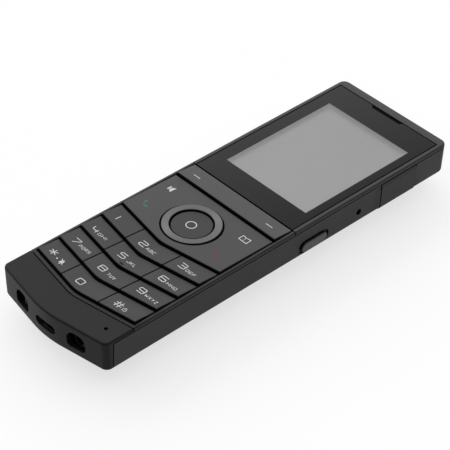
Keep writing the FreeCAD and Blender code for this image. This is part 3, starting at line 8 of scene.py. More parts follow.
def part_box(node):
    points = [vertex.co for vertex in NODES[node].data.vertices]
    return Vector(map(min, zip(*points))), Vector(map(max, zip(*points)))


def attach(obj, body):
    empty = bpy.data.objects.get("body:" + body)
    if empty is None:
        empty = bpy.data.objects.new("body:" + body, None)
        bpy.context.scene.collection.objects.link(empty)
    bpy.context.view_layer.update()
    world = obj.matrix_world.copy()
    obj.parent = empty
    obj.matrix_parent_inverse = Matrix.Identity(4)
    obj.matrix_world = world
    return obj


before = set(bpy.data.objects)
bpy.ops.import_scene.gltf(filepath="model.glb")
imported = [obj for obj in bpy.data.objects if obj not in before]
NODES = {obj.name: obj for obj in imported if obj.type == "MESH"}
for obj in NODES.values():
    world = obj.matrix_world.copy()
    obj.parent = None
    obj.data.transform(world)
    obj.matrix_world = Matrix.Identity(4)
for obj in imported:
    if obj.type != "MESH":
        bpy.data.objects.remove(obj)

# Portable IP phone handset, dressed over the CAD frame.
# Metres, with sizes written in millimetres times MM, in the part's own frame.

MM = 0.001
SCENE = bpy.context.scene

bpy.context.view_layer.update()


def tone(red, green=None, blue=None):
    """A linear colour from display levels between 0 and 255."""

    def linear(level):
        share = level / 255
        return share / 12.92 if share <= 0.04045 else ((share + 0.055) / 1.055) ** 2.4

    levels = (red, red if green is None else green, red if blue is None else blue)
    return (*map(linear, levels), 1.0)


def at(x, y):
    """A point of the front, from millimetres."""
    return Vector((x * MM, y * MM))


def node_middle(node):
    """The middle of a CAD node's box."""
    low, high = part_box(node)
    return (low + high) / 2


# Node helpers


def add_node(tree, kind, inputs=None, **settings):
    """A shader node with its settings and its inputs, each a number, a colour or another node's socket."""
    made = tree.nodes.new(kind)
    for key, choice in settings.items():
        setattr(made, key, choice)
    for key, content in (inputs or {}).items():
        if isinstance(content, bpy.types.NodeSocket):
            tree.links.new(content, made.inputs[key])
        else:
            made.inputs[key].default_value = content
    return made


def new_material(name):
    """A material with a principled shader, and its object coordinates."""
    material = bpy.data.materials.new(name)
    material.use_nodes = True
    tree = material.node_tree
    shader = tree.nodes["Principled BSDF"]
    place = tree.nodes.new("ShaderNodeTexCoord").outputs["Object"]
    return material, tree, shader, place


def maths(tree, operation, first, second=0.0):
    """The outcome of one step of arithmetic on numbers or sockets."""
    return add_node(tree, "ShaderNodeMath", {0: first, 1: second}, operation=operation).outputs[0]


def noise(tree, place, size, detail=2.0):
    """Noise whose features are about that many metres across."""
    inputs = {"Vector": place, "Scale": 1 / size, "Detail": detail}
    return add_node(tree, "ShaderNodeTexNoise", inputs).outputs["Fac"]


def spread(tree, source, low, high, start=0.3, end=0.7):
    """source, turned into a value between low and high."""
    inputs = {"Value": source, "From Min": start, "From Max": end, "To Min": low, "To Max": high}
    return add_node(tree, "ShaderNodeMapRange", inputs).outputs["Result"]


def blend_colours(tree, share, first, second):
    """first where share is 0 and second where it is 1."""
    mixer = add_node(tree, "ShaderNodeMix", data_type="RGBA")
    for socket, content in ((mixer.inputs[0], share), (mixer.inputs[6], first), (mixer.inputs[7], second)):
        if isinstance(content, bpy.types.NodeSocket):
            tree.links.new(content, socket)
        else:
            socket.default_value = content
    return mixer.outputs[2]


def scaled(colour, factor):
    """A fixed colour times a factor."""
    return (*(factor * part for part in colour[:3]), 1.0)


def times(tree, colour, factor):
    """A node's colour times a factor."""
    made = add_node(tree, "ShaderNodeVectorMath", {0: colour, "Scale": factor}, operation="SCALE")
    return made.outputs[0]


OPEN_SPAN = (0.35, 0.95)


def painted_crevice_shade(tree, reach, low):
    """Painted shade: falls from 1 in the open to low in grooves and holes narrower than reach."""
    shade = add_node(tree, "ShaderNodeAmbientOcclusion", {"Distance": reach}, samples=8)
    return spread(tree, shade.outputs["AO"], low, 1.0, *OPEN_SPAN)


def painted_side_shade(tree, low, start=0.6, end=0.9):
    """Painted shade: 1 on faces that look out of the front and low on the others."""
    normal = tree.nodes.new("ShaderNodeTexCoord").outputs["Normal"]
    parts = add_node(tree, "ShaderNodeSeparateXYZ", {"Vector": normal})
    return spread(tree, parts.outputs["Z"], low, 1.0, start, end)


CLOUD_SIZE, SPECK_SIZE, GRAIN_SIZE = 9 * MM, 0.5 * MM, 0.22 * MM
FOOT_SHADE_SPAN = (-62 * MM, -50 * MM)


def moulded(name, colour, roughness, specular, grain=0.006, edge=0.06, groove=0.03, reach=1.6,
            sides=1.0, speckle=1.2, foot_shade=1.0):
    """Moulded plastic with fine grain, soft edges and painted shade.

    groove, sides and foot are the share of its colour that painted shade leaves in grooves, on its sides
    and at its lower end.
    grain, edge and reach are millimetres, and speckle is the factor of the specks in its colour.
    """
    material, tree, shader, place = new_material(name)
    cloud = noise(tree, place, CLOUD_SIZE, 3.0)
    fine = noise(tree, place, GRAIN_SIZE, 4.0)
    speck = noise(tree, place, SPECK_SIZE, 2.0)
    rounded = add_node(tree, "ShaderNodeBevel", {"Radius": edge * MM}, samples=6).outputs["Normal"]
    bump = add_node(tree, "ShaderNodeBump", {
        "Strength": 0.6, "Distance": grain * MM, "Height": fine, "Normal": rounded})
    base = blend_colours(tree, spread(tree, cloud, 0.0, 1.0), scaled(colour, 0.94), scaled(colour, 1.06))
    base = blend_colours(tree, spread(tree, speck, 0.0, 0.35), base, scaled(colour, speckle))
    shade = painted_crevice_shade(tree, reach * MM, groove)
    if sides < 1.0:
        shade = maths(tree, "MULTIPLY", shade, painted_side_shade(tree, sides))
    if foot_shade < 1.0:
        height = add_node(tree, "ShaderNodeSeparateXYZ", {"Vector": place}).outputs["Y"]
        shade = maths(tree, "MULTIPLY", shade, spread(tree, height, foot_shade, 1.0, *FOOT_SHADE_SPAN))
    tree.links.new(times(tree, base, shade), shader.inputs["Base Color"])
    gloss = spread(tree, cloud, roughness - 0.03, roughness + 0.03)
    tree.links.new(gloss, shader.inputs["Roughness"])
    shader.inputs["Specular IOR Level"].default_value = specular
    tree.links.new(bump.outputs["Normal"], shader.inputs["Normal"])
    return material


BRUSH_SIZE, BRUSH_DEPTH, BRUSH_STRETCH = 0.15 * MM, 0.002 * MM, (1.0, 0.06, 1.0)
PLATING_CLOUD, METAL_REACH = 4 * MM, 2.0 * MM


def metal(name, colour, roughness, groove=0.3):
    """Plated or stamped metal with fine drawing lines along the part, and painted shade in its hollows."""
    material, tree, shader, place = new_material(name)
    stretched = add_node(tree, "ShaderNodeMapping", {"Vector": place, "Scale": BRUSH_STRETCH})
    lines = noise(tree, stretched.outputs["Vector"], BRUSH_SIZE, 3.0)
    cloud = noise(tree, place, PLATING_CLOUD)
    base = blend_colours(tree, spread(tree, cloud, 0.0, 1.0), scaled(colour, 0.92), scaled(colour, 1.05))
    tree.links.new(times(tree, base, painted_crevice_shade(tree, METAL_REACH, groove)), shader.inputs["Base Color"])
    shader.inputs["Metallic"].default_value = 1.0
    tree.links.new(spread(tree, lines, roughness - 0.05, roughness + 0.08), shader.inputs["Roughness"])
    bump = add_node(tree, "ShaderNodeBump", {"Strength": 0.8, "Distance": BRUSH_DEPTH, "Height": lines})
    tree.links.new(bump.outputs["Normal"], shader.inputs["Normal"])
    return material


RING_SHADE_RIM, RING_LINES, RING_REACH = 0.24 * MM, 0.12 * MM, 0.8 * MM


def turned_ring(name, colour):
    """Satin lacquer over turning lines, with its gloss drawn out across them, and painted shade on its
    sloped faces, in its hollows and as a dark outer band.
    """
    material, tree, shader, place = new_material(name)
    centre = node_middle("nav_ring")
    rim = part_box("nav_ring")[1].x - centre.x - RING_SHADE_RIM
    arm = add_node(tree, "ShaderNodeVectorMath", {0: place, 1: tuple(centre)}, operation="SUBTRACT")
    tree.links.new(arm.outputs[0], shader.inputs["Tangent"])
    far = add_node(tree, "ShaderNodeVectorMath", {0: arm.outputs[0]}, operation="LENGTH").outputs["Value"]
    rings = add_node(tree, "ShaderNodeCombineXYZ", {"X": far}).outputs[0]
    lines = noise(tree, rings, RING_LINES, 3.0)
    base = blend_colours(tree, spread(tree, lines, 0.0, 1.0), scaled(colour, 0.95), scaled(colour, 1.06))
    base = times(tree, base, painted_crevice_shade(tree, RING_REACH, 0.25))
    # Painted shade: the ring's sloped faces and its outer band are darkened
    face = painted_side_shade(tree, 0.04, start=0.45, end=0.85)
    shade = maths(tree, "MULTIPLY", face, maths(tree, "LESS_THAN", far, rim))
    tree.links.new(times(tree, base, shade), shader.inputs["Base Color"])
    shader.inputs["Metallic"].default_value = 0.75
    shader.inputs["Anisotropic"].default_value = 0.9
    tree.links.new(spread(tree, lines, 0.3, 0.36), shader.inputs["Roughness"])
    return material


def paint(node_names, material):
    """Puts a material in the only slot of each CAD node."""
    for name in node_names:
        NODES[name].material_slots[0].material = material


# Strokes of ink
# A corner's arc takes up to SIDE_SHARE of each side, and a mitre widens a stroke up to MITRE_LIMIT times

INK_PROUD, INK_SUNK = 0.012 * MM, 0.05 * MM
FOLLOW_STEP, RAY_HEIGHT = 0.35 * MM, 40 * MM
STRAIGHT, SIDE_SHARE, ARC_STEPS = math.radians(176), 0.45, 4
MITRE_LIMIT = 1.6
KEY_NAMES = ["key_star", "key_0", "key_hash"] + [f"key_{number}" for number in range(1, 10)]


def height_over(node):
    """A function that gives the top of a CAD node at x, y."""
    mesh = NODES[node].data
    corners = [vertex.co.copy() for vertex in mesh.vertices]
    faces = [tuple(face.vertices) for face in mesh.polygons]
    tree = BVHTree.FromPolygons(corners, faces)

    def top(x, y):
        hit = tree.ray_cast(Vector((x, y, RAY_HEIGHT)), Vector((0, 0, -1)))[0]
        return hit.z if hit else None

    return top


def bent(start, pull, end, steps=10):
    """Points of a curve from start to end, pulled towards a third point."""
    out = []
    for step in range(steps + 1):
        share = step / steps
        out.append((1 - share) ** 2 * start + 2 * share * (1 - share) * pull + share ** 2 * end)
    return out


def rounded_corners(points, radius, closed):
    """The polyline with every corner turned on a short arc."""
    count = len(points)
    out = []
    for index, corner in enumerate(points):
        if not closed and index in (0, count - 1):
            out.append(corner)
            continue
        before = points[index - 1] - corner
        after = points[(index + 1) % count] - corner
        if before.angle(after) > STRAIGHT:
            out.append(corner)
            continue
        reach = min(radius, SIDE_SHARE * before.length, SIDE_SHARE * after.length)
        start = corner + before.normalized() * reach
        end = corner + after.normalized() * reach
        out += bent(start, corner, end, ARC_STEPS)
    return out


def dense(points, closed, longest):
    """The same polyline with no stretch longer than longest."""
    ends = points[1:] + points[:1] if closed else points[1:]
    out = []
    for start, end in zip(points, ends):
        pieces = max(1, math.ceil((end - start).length / longest))
        out += [start.lerp(end, step / pieces) for step in range(pieces)]
    return out if closed else out + [points[-1]]


def stroke_sides(points, widths, closed):
    """Left and right edge of a stroke along a polyline, mitred at its corners."""
    count = len(points)
    left, right = [], []
    for index, point in enumerate(points):
        before = points[index - 1] if closed or index else None
        after = points[(index + 1) % count] if closed or index < count - 1 else None
        arms = []
        if before is not None:
            arms.append((point - before).normalized())
        if after is not None:
            arms.append((after - point).normalized())
        along = sum(arms, Vector((0, 0))).normalized()
        across = Vector((-along.y, along.x))
        stretch = 1 / max(1 / MITRE_LIMIT, abs(along.dot(arms[0])))
        left.append(point + across * widths[index] / 2 * stretch)
        right.append(point - across * widths[index] / 2 * stretch)
    return left, right


def stroke_mesh(points, widths, top, closed=False, proud=INK_PROUD):
    """Vertices and faces of one closed, very thin strip that lies on a surface."""
    if not isinstance(widths, list):
        widths = [widths] * len(points)
    left, right = stroke_sides(points, widths, closed)
    vertices, rings = [], []
    for side_a, side_b in zip(left, right):
        ring = []
        for place, rise in ((side_a, proud), (side_b, proud), (side_b, -INK_SUNK), (side_a, -INK_SUNK)):
            level = top(place.x, place.y)
            if level is None:
                level = top((side_a.x + side_b.x) / 2, (side_a.y + side_b.y) / 2)
            ring.append(len(vertices))
            vertices.append((place.x, place.y, level + rise))
        rings.append(ring)
    faces = []
    next_rings = rings[1:] + rings[:1] if closed else rings[1:]
    for first, second in zip(rings, next_rings):
        for corner in range(4):
            following = (corner + 1) % 4
            faces.append((first[corner], first[following], second[following], second[corner]))
    if not closed:
        faces += [tuple(reversed(rings[0])), tuple(rings[-1])]
    return vertices, faces


def disc(centre, radius, top):
    """The mesh of one filled round spot."""
    steps = 8
    angles = [math.pi * (step + 0.5) / (steps + 1) for step in range(steps + 1)]
    points = [centre + Vector((0, -radius * math.cos(angle))) for angle in angles]
    return stroke_mesh(points, [2 * radius * math.sin(angle) for angle in angles], top)


def new_piece(name, parts, material, body):
    """One piece from several closed meshes, riding on a body."""
    vertices, faces = [], []
    for more_vertices, more_faces in parts:
        start = len(vertices)
        vertices += more_vertices
        faces += [tuple(start + index for index in face) for face in more_faces]
    mesh = bpy.data.meshes.new(name)
    mesh.from_pydata(vertices, [], faces)
    mesh.materials.append(material)
    mesh.update()
    piece = bpy.data.objects.new(name, mesh)
    SCENE.collection.objects.link(piece)
    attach(piece, body)
    return piece


# Square stroke alphabet: corners in a unit box, C closes a stroke

C = "closed"
GLYPHS = {
    "0": [[(0, 0), (1, 0), (1, 1), (0, 1), C]],
    "1": [[(0.5, 0), (0.5, 1)]],
    "2": [[(0, 1), (1, 1), (1, 0.5), (0, 0.5), (0, 0), (1, 0)]],
    "3": [[(0, 1), (1, 1), (1, 0), (0, 0)], [(0.2, 0.52), (1, 0.52)]],
    "4": [[(0, 1), (0, 0.4), (1, 0.4)], [(0.8, 0.75), (0.8, 0)]],
    "5": [[(1, 1), (0, 1), (0, 0.55), (1, 0.55), (1, 0), (0, 0)]],
    "6": [[(1, 1), (0, 1), (0, 0), (1, 0), (1, 0.55), (0, 0.55)]],
    "7": [[(0, 1), (1, 1), (1, 0.8), (0.2, 0)]],
    "8": [[(0, 0), (1, 0), (1, 1), (0, 1), C], [(0, 0.52), (1, 0.52)]],
    "9": [[(0, 0), (1, 0), (1, 1), (0, 1), (0, 0.45), (1, 0.45)]],
    "*": [[(0.5, -0.08), (0.5, 1.08)], [(-0.03, 0.2), (1.03, 0.8)], [(-0.03, 0.8), (1.03, 0.2)]],
    "#": [[(0.2, -0.12), (0.34, 1.12)], [(0.66, -0.12), (0.8, 1.12)], [(-0.12, 0.28), (1.08, 0.28)],
          [(-0.08, 0.72), (1.12, 0.72)]],
    "A": [[(0, 0), (0.45, 1), (0.55, 1), (1, 0)], [(0.2, 0.3), (0.8, 0.3)]],
    "B": [[(0, 0), (1, 0), (1, 0.52), (0.9, 1), (0, 1), C], [(0, 0.52), (1, 0.52)]],
    "C": [[(1, 1), (0, 1), (0, 0), (1, 0)]],
    "D": [[(0, 0), (1, 0), (1, 1), (0, 1), C]],
    "E": [[(1, 1), (0, 1), (0, 0), (1, 0)], [(0, 0.5), (0.9, 0.5)]],
    "F": [[(1, 1), (0, 1), (0, 0)], [(0, 0.5), (0.9, 0.5)]],
    "G": [[(1, 1), (0, 1), (0, 0), (1, 0), (1, 0.5), (0.6, 0.5)]],
    "H": [[(0, 0), (0, 1)], [(1, 0), (1, 1)], [(0, 0.5), (1, 0.5)]],
    "I": [[(0.5, 0), (0.5, 1)]],
    "J": [[(1, 1), (1, 0), (0, 0), (0, 0.35)]],
    "K": [[(0, 0), (0, 1)], [(1, 1), (0.25, 0.5), (1, 0)], [(0, 0.5), (0.25, 0.5)]],
    "L": [[(0, 1), (0, 0), (1, 0)]],
    "M": [[(0, 0), (0, 1), (0.5, 0.3), (1, 1), (1, 0)]],
    "N": [[(0, 0), (0, 1), (1, 0), (1, 1)]],
    "O": [[(0, 0), (1, 0), (1, 1), (0, 1), C]],
    "P": [[(0, 0), (0, 1), (1, 1), (1, 0.4), (0, 0.4)]],
    "Q": [[(0, 0), (1, 0), (1, 1), (0, 1), C], [(0.7, 0.25), (1.1, -0.15)]],
    "R": [[(0, 0), (0, 1), (1, 1), (1, 0.45), (0, 0.45)], [(0.55, 0.45), (1, 0)]],
    "S": [[(1, 1), (0, 1), (0, 0.5), (1, 0.5), (1, 0), (0, 0)]],
    "T": [[(0, 1), (1, 1)], [(0.5, 1), (0.5, 0)]],
    "U": [[(0, 1), (0, 0), (1, 0), (1, 1)]],
    "V": [[(0, 1), (0.45, 0), (0.55, 0), (1, 1)]],
    "W": [[(0, 1), (0.2, 0), (0.5, 0.7), (0.8, 0), (1, 1)]],
    "X": [[(0, 0), (1, 1)], [(0, 1), (1, 0)]],
    "Y": [[(0, 1), (0.5, 0.5), (1, 1)], [(0.5, 0.5), (0.5, 0)]],
    "Z": [[(0, 1), (1, 1), (0, 0), (1, 0)]],
}

CORNER_SHARE = 0.22
DIGIT_WIDE, DIGIT_TALL, DIGIT_STROKE = 2.55 * MM, 2.4 * MM, 0.3 * MM
LETTER_TALL, LETTER_STROKE, LETTER_GAP = 1.15 * MM, 0.18 * MM, 0.32 * MM
LETTER_SHARES = {"I": 0.3, "J": 0.85, "L": 0.9, "M": 1.3, "W": 1.3}


def glyph(sign, corner, wide, tall, stroke, top):
    """The meshes of one sign whose box has its lower left corner at corner."""
    parts = []
    for line in GLYPHS[sign]:
        closed = line[-1] is C
        ends = [point for point in line if point is not C]
        points = [corner + Vector((u * wide, v * tall)) for u, v in ends]
        points = rounded_corners(points, CORNER_SHARE * tall, closed)
        points = dense(points, closed, FOLLOW_STEP)
        parts.append(stroke_mesh(points, stroke, top, closed))
    return parts


def word(letters, start, end, low, top):
    """The meshes of a short row of letters that fills the span from start to end."""
    shares = [LETTER_SHARES.get(letter, 1.0) for letter in letters]
    room = end - start - LETTER_STROKE - (len(letters) - 1) * (LETTER_GAP + LETTER_STROKE)
    unit = room / sum(shares)
    left = start + LETTER_STROKE / 2
    parts = []
    for letter, share in zip(letters, shares):
        parts += glyph(letter, Vector((left, low)), share * unit, LETTER_TALL, LETTER_STROKE, top)
        left += share * unit + LETTER_GAP + LETTER_STROKE
    return parts


# Key signs: the key, its digit, the digit's middle, its letters and the span they fill, in millimetres

SIGNS = [
    ("key_1", "1", (-17.8, -32.84), "", None),
    ("key_2", "2", (-2.9, -35.39), "ABC", (-0.8, 3.2)),
    ("key_3", "3", (12.95, -33.09), "DEF", (15.0, 19.05)),
    ("key_4", "4", (-17.85, -42.2), "GHI", (-15.95, -11.9)),
    ("key_5", "5", (-2.95, -43.99), "JKL", (0.0, 3.75)),
    ("key_6", "6", (13.4, -41.79), "MNO", (15.6, 20.0)),
    ("key_7", "7", (-17.6, -50.39), "PQRS", (-15.5, -10.4)),
    ("key_8", "8", (-2.5, -52.64), "TUV", (0.44, 3.96)),
    ("key_9", "9", (13.2, -50.44), "WXYZ", (15.3, 20.8)),
    ("key_star", "*", (-18.2, -59.14), "", None),
    ("key_0", "0", (-2.2, -61.89), "", None),
    ("key_hash", "#", (13.4, -59.99), "", None),
]


# A dot and a bell after the star and a padlock after the hash, in millimetres
# The shapes are drawn from their own middles, and a level of the bell is its height and its width there

STAR_DOT, STAR_DOT_RADIUS = (-15.2, -60.39), 0.3 * MM
BELL_PLACE, LOCK_PLACE = (-12.9, -60.25), (16.4, -60.3)
BELL_LEVELS = ((-0.85, 1.9), (-0.5, 1.45), (0.2, 1.2), (0.65, 0.85), (0.9, 0.3))
BELL_SLASH, SLASH_STROKE = ((-1.15, 1.1), (1.15, -1.15)), 0.24 * MM
CLAPPER_PLACE, CLAPPER_RADIUS = (0, -1.2), 0.26 * MM
LOCK_BODY, LOCK_STROKE = ((-0.65, -0.75), (0.65, -0.75), (0.65, 0.15), (-0.65, 0.15)), 0.16 * MM
LOCK_BOW, BOW_STROKE = ((-0.4, 0.2), (-0.4, 0.75), (0.4, 0.75), (0.4, 0.2)), 0.14 * MM
BOW_RADIUS = 0.35 * MM


def bell_parts(middle, top):
    """A small bell struck through, for the silent mode."""
    body = [middle + at(0, level) for level, wide in BELL_LEVELS]
    widths = [wide * MM for level, wide in BELL_LEVELS]
    slash = [middle + at(*end) for end in BELL_SLASH]
    return [stroke_mesh(body, widths, top),
            disc(middle + at(*CLAPPER_PLACE), CLAPPER_RADIUS, top),
            stroke_mesh(dense(slash, False, FOLLOW_STEP), SLASH_STROKE, top)]


def lock_parts(middle, top):
    """A small padlock, for the key lock."""
    body = [middle + at(*corner) for corner in LOCK_BODY]
    bow = [middle + at(*corner) for corner in LOCK_BOW]
    return [stroke_mesh(dense(body, True, FOLLOW_STEP), LOCK_STROKE, top, True),
            stroke_mesh(rounded_corners(bow, BOW_RADIUS, False), BOW_STROKE, top)]


def key_signs(ink):
    """All the print of each key, as one piece on that key."""
    for key, sign, middle, letters, span in SIGNS:
        top = height_over(key)
        corner = at(*middle) - Vector((DIGIT_WIDE, DIGIT_TALL)) / 2
        parts = glyph(sign, corner, DIGIT_WIDE, DIGIT_TALL, DIGIT_STROKE, top)
        if letters:
            parts += word(letters, span[0] * MM, span[1] * MM, corner.y, top)
        if key == "key_star":
            parts.append(disc(at(*STAR_DOT), STAR_DOT_RADIUS, top))
            parts += bell_parts(at(*BELL_PLACE), top)
        if key == "key_hash":
            parts += lock_parts(at(*LOCK_PLACE), top)
        new_piece(f"{key}_signs", parts, ink, f"{key}_body")


# Nub of the middle key: each place across it, in millimetres, and the share of its width there

NUB_Y, NUB_WIDE, NUB_PROUD = -46.99, 0.42, 0.07 * MM
NUB_ACROSS = ((-1.0, 0.4), (-0.85, 0.85), (-0.5, 1.0), (0.1, 1.0), (0.5, 0.85), (0.62, 0.4))


def finding_nub(material):
    """The small raised bar that a fingertip finds on the middle key."""
    top = height_over("key_5")
    points = [at(x, NUB_Y) for x, share in NUB_ACROSS]
    widths = [share * NUB_WIDE * MM for x, share in NUB_ACROSS]
    piece = stroke_mesh(points, widths, top, proud=NUB_PROUD)
    new_piece("key_5_nub", [piece], material, "key_5_body")


# Signs of the plate round the ring, in millimetres
# A cone's place has its width with it
# A page is its pull and its corner at the top, then its corner and its pull at the foot
# A handset is its start, its pull and its end, and swells towards both ends

SPEAKER_BOX, BOX_STROKE = ((-18.75, -10.75), (-18.75, -8.85)), 0.6 * MM
SPEAKER_CONE = ((-18.1, -9.85, 1.4), (-17.6, -9.87, 2.0), (-16.95, -9.9, 3.0))
BOOK_SPINE = ((15.95, -8.66), (16.1, -10.75))
BOOK_PAGES = (
    ((15.2, -8.3), (14.44, -8.39), (14.44, -10.56), (15.3, -10.5)),
    ((16.8, -8.3), (17.75, -8.34), (17.85, -10.6), (16.9, -10.5)),
)
PAGE_STROKE, PAGE_STEP, PAGE_BEND_STEPS = 0.3 * MM, 0.4 * MM, 4
HANDSET_WIDTHS = [wide * MM for wide in (0.7, 0.8, 0.6, 0.4, 0.36, 0.36, 0.36, 0.4, 0.6, 0.8, 0.7)]
CALL_HANDSET = ((-18.2, -19.86), (-18.6, -22.7), (-15.9, -22.25))
END_HANDSET, END_THICKER = ((15.4, -20.0), (15.9, -22.1), (17.7, -22.3)), 1.8


def speaker_parts(top):
    """A loudspeaker: its box, and its cone that widens to the right."""
    box = stroke_mesh([at(*end) for end in SPEAKER_BOX], BOX_STROKE, top)
    places = [at(x, y) for x, y, wide in SPEAKER_CONE]
    widths = [wide * MM for x, y, wide in SPEAKER_CONE]
    return [box, stroke_mesh(places, widths, top)]


def book_parts(top):
    """An open book: the outlines of two pages that meet in its spine."""
    spine_top, spine_foot = [at(*end) for end in BOOK_SPINE]
    pages = []
    for page in BOOK_PAGES:
        top_pull, top_corner, foot_corner, foot_pull = [at(*place) for place in page]
        outline = bent(spine_top, top_pull, top_corner, PAGE_BEND_STEPS)
        outline += bent(foot_corner, foot_pull, spine_foot, PAGE_BEND_STEPS)
        pages.append(stroke_mesh(dense(outline, True, PAGE_STEP), PAGE_STROKE, top, True))
    return pages


def handset(places, widths, top):
    """The mesh of a receiver seen from its side."""
    start, pull, end = [at(*place) for place in places]
    return stroke_mesh(bent(start, pull, end), widths, top)


def plate_signs(ink, green, red):
    """Loudspeaker, open book and the two call signs on the plate round the ring."""
    top = height_over("nav_plate")
    new_piece("speaker_sign", speaker_parts(top), ink, "nav_plate_body")
    new_piece("book_sign", book_parts(top), ink, "nav_plate_body")
    call = handset(CALL_HANDSET, HANDSET_WIDTHS, top)
    new_piece("call_sign", [call], green, "nav_plate_body")
    hang_up = handset(END_HANDSET, [END_THICKER * width for width in HANDSET_WIDTHS], top)
    new_piece("end_sign", [hang_up], red, "nav_plate_body")


# Dashes over the soft keys as start, end and level, and the mark of the centre key, in millimetres

DASHES = ((-18.43, -15.49, 0.73), (15.0, 17.96, 1.03))
DASH_STROKE, DASH_STEP = 0.3 * MM, 0.5 * MM
MARK_MIDDLE, MARK_STEPS = (-0.08, -17.52), 36
MARK_RADIUS, MARK_STROKE = 1.7 * MM, 0.34 * MM


def bar_signs(ink):
    """The two dashes over the soft keys."""
    top = height_over("soft_key_bar")
    dashes = []
    for start, end, level in DASHES:
        line = dense([at(start, level), at(end, level)], False, DASH_STEP)
        dashes.append(stroke_mesh(line, DASH_STROKE, top))
    new_piece("soft_key_dashes", dashes, ink, "soft_key_bar_body")


def centre_sign(ink):
    """The ring mark of the centre key."""
    top = height_over("centre_key")
    middle = at(*MARK_MIDDLE)
    turns = [2 * math.pi * step / MARK_STEPS for step in range(MARK_STEPS)]
    points = [middle + MARK_RADIUS * Vector((math.cos(turn), math.sin(turn))) for turn in turns]
    mark = stroke_mesh(points, MARK_STROKE, top, True)
    new_piece("centre_key_sign", [mark], ink, "centre_key_body")


# Materials of the covers and keys, with painted shade in their grooves and hollows, and on the sides and
# lower end of some

frame_black = moulded("frame_black", tone(46), roughness=0.42, specular=0.34,
                      groove=0.0, sides=0.5, speckle=1.5)
bezel_black = moulded("bezel_black", tone(45), roughness=0.42, specular=0.3,
                      groove=0.0, sides=0.5, speckle=1.5, foot_shade=0.15)
cap_black = moulded("cap_black", tone(41), roughness=0.46, specular=0.13,
                    groove=0.0, reach=2.5, sides=0.55)
shell_black = moulded("shell_black", tone(31), roughness=0.5, specular=0.3,
                      grain=0.012, groove=0.0)
clip_black = moulded("clip_black", tone(32), roughness=0.52, specular=0.3,
                     grain=0.014, groove=0.0, reach=2.2)
key_black = moulded("key_black", tone(41), roughness=0.45, specular=0.38,
                    grain=0.003, reach=2.0, sides=0.06)
plate_black = moulded("plate_black", tone(51), roughness=0.4, specular=0.42,
                      grain=0.003, reach=2.0, sides=0.06)
side_black = moulded("side_black", tone(44), roughness=0.38, specular=0.6)
# Near-black rubber: its own colour, and in the grooves between keys where the mat shows, also painted
# shade
rubber = moulded("rubber", tone(5), roughness=0.8, specular=0.1, groove=0.3, reach=3.0)
component = moulded("component", tone(6), roughness=0.5, specular=0.15, reach=3.0)
battery_wrap = moulded("battery_wrap", tone(70), roughness=0.45, specular=0.4)
board_green = moulded("board_green", tone(20, 60, 40), roughness=0.4, specular=0.5)
ink_white = moulded("ink_white", tone(235), roughness=0.5, specular=0.3,
                    grain=0.001, edge=0.01, groove=1.0, speckle=0.96)
ink_green = moulded("ink_green", tone(50, 125, 100), roughness=0.5, specular=0.3,
                    grain=0.001, edge=0.01, groove=1.0)
ink_red = moulded("ink_red", tone(114, 52, 56), roughness=0.5, specular=0.3,
                  grain=0.001, edge=0.01, groove=1.0)
steel = metal("steel", tone(150), roughness=0.3)
socket_steel = metal("socket_steel", tone(170), roughness=0.25, groove=0.0)
dark_steel = metal("dark_steel", tone(40), roughness=0.45)
gold = metal("gold", tone(200, 165, 90), roughness=0.25)
ring_satin = turned_ring("ring_satin", tone(101, 101, 100))

paint(["front_housing"], frame_black)
paint(["keypad_bezel"], bezel_black)
paint(["bottom_cap"], cap_black)
paint(["rear_housing", "battery_door"], shell_black)
paint(["clip_bracket", "clip_lever"], clip_black)
paint(KEY_NAMES + ["centre_key"], key_black)
paint(["nav_plate", "soft_key_bar"], plate_black)
paint(["side_key", "volume_rocker"], side_black)
paint(["nav_ring"], ring_satin)
paint(["keypad_mat", "seal_ring"], rubber)
paint(["usb_receptacle"], socket_steel)
paint(["dome_sheet", "shield_can", "clip_pin", "clip_spring", "housing_screws"], steel)
# The lanyard bar takes dark steel, painted shade for the inside of its port
paint(["lanyard_bar"], dark_steel)
paint(["antenna", "battery_contacts"], gold)
paint(["main_board"], board_green)
paint(["battery"], battery_wrap)
paint(["receiver", "loudspeaker", "microphone", "second_microphone", "vibration_motor",
       "headset_jack", "side_switch", "volume_switches"], component)


# Glass, screen and mesh
# The window in the print on the glass is moved by WINDOW_LEAN times the thickness of the glass
# SCREEN_GREYS holds the levels of the screen's lower and upper end, between 0 and 255

MESH_PITCH = 0.35 * MM
SCREEN_EDGE, SCREEN_TAIL, LIT_ROOM = 2.1 * MM, 7.0 * MM, 1.9 * MM
SCREEN_CLOUD = 25 * MM
SCREEN_GREYS = (("Base Color", 72, 70), ("Emission Color", 136, 134))
GROUND_EDGE, FRONT_DEPTH, SMEAR_SIZE = 0.28 * MM, 0.3 * MM, 14 * MM
GLASS_IOR, GLASS_ROUGHNESS = 1.3, 0.05
WINDOW_LEAN = (0.86, -0.99)


def mesh_metal():
    """Black woven mesh over the receiver, with painted shade in the openings of its weave."""
    material, tree, shader, place = new_material("mesh_metal")
    wave = add_node(tree, "ShaderNodeTexVoronoi", {"Vector": place, "Scale": 1 / MESH_PITCH})
    holes = spread(tree, wave.outputs["Distance"], 0.0, 1.0, 0.1, 0.5)
    tree.links.new(blend_colours(tree, holes, tone(1), tone(12)), shader.inputs["Base Color"])
    shader.inputs["Roughness"].default_value = 0.7
    shader.inputs["Specular IOR Level"].default_value = 0.05
    return material


def both_under(tree, first, first_limit, second, second_limit):
    """1 where two lengths are each under their limit."""
    return maths(tree, "MULTIPLY", maths(tree, "LESS_THAN", first, first_limit),
                 maths(tree, "LESS_THAN", second, second_limit))


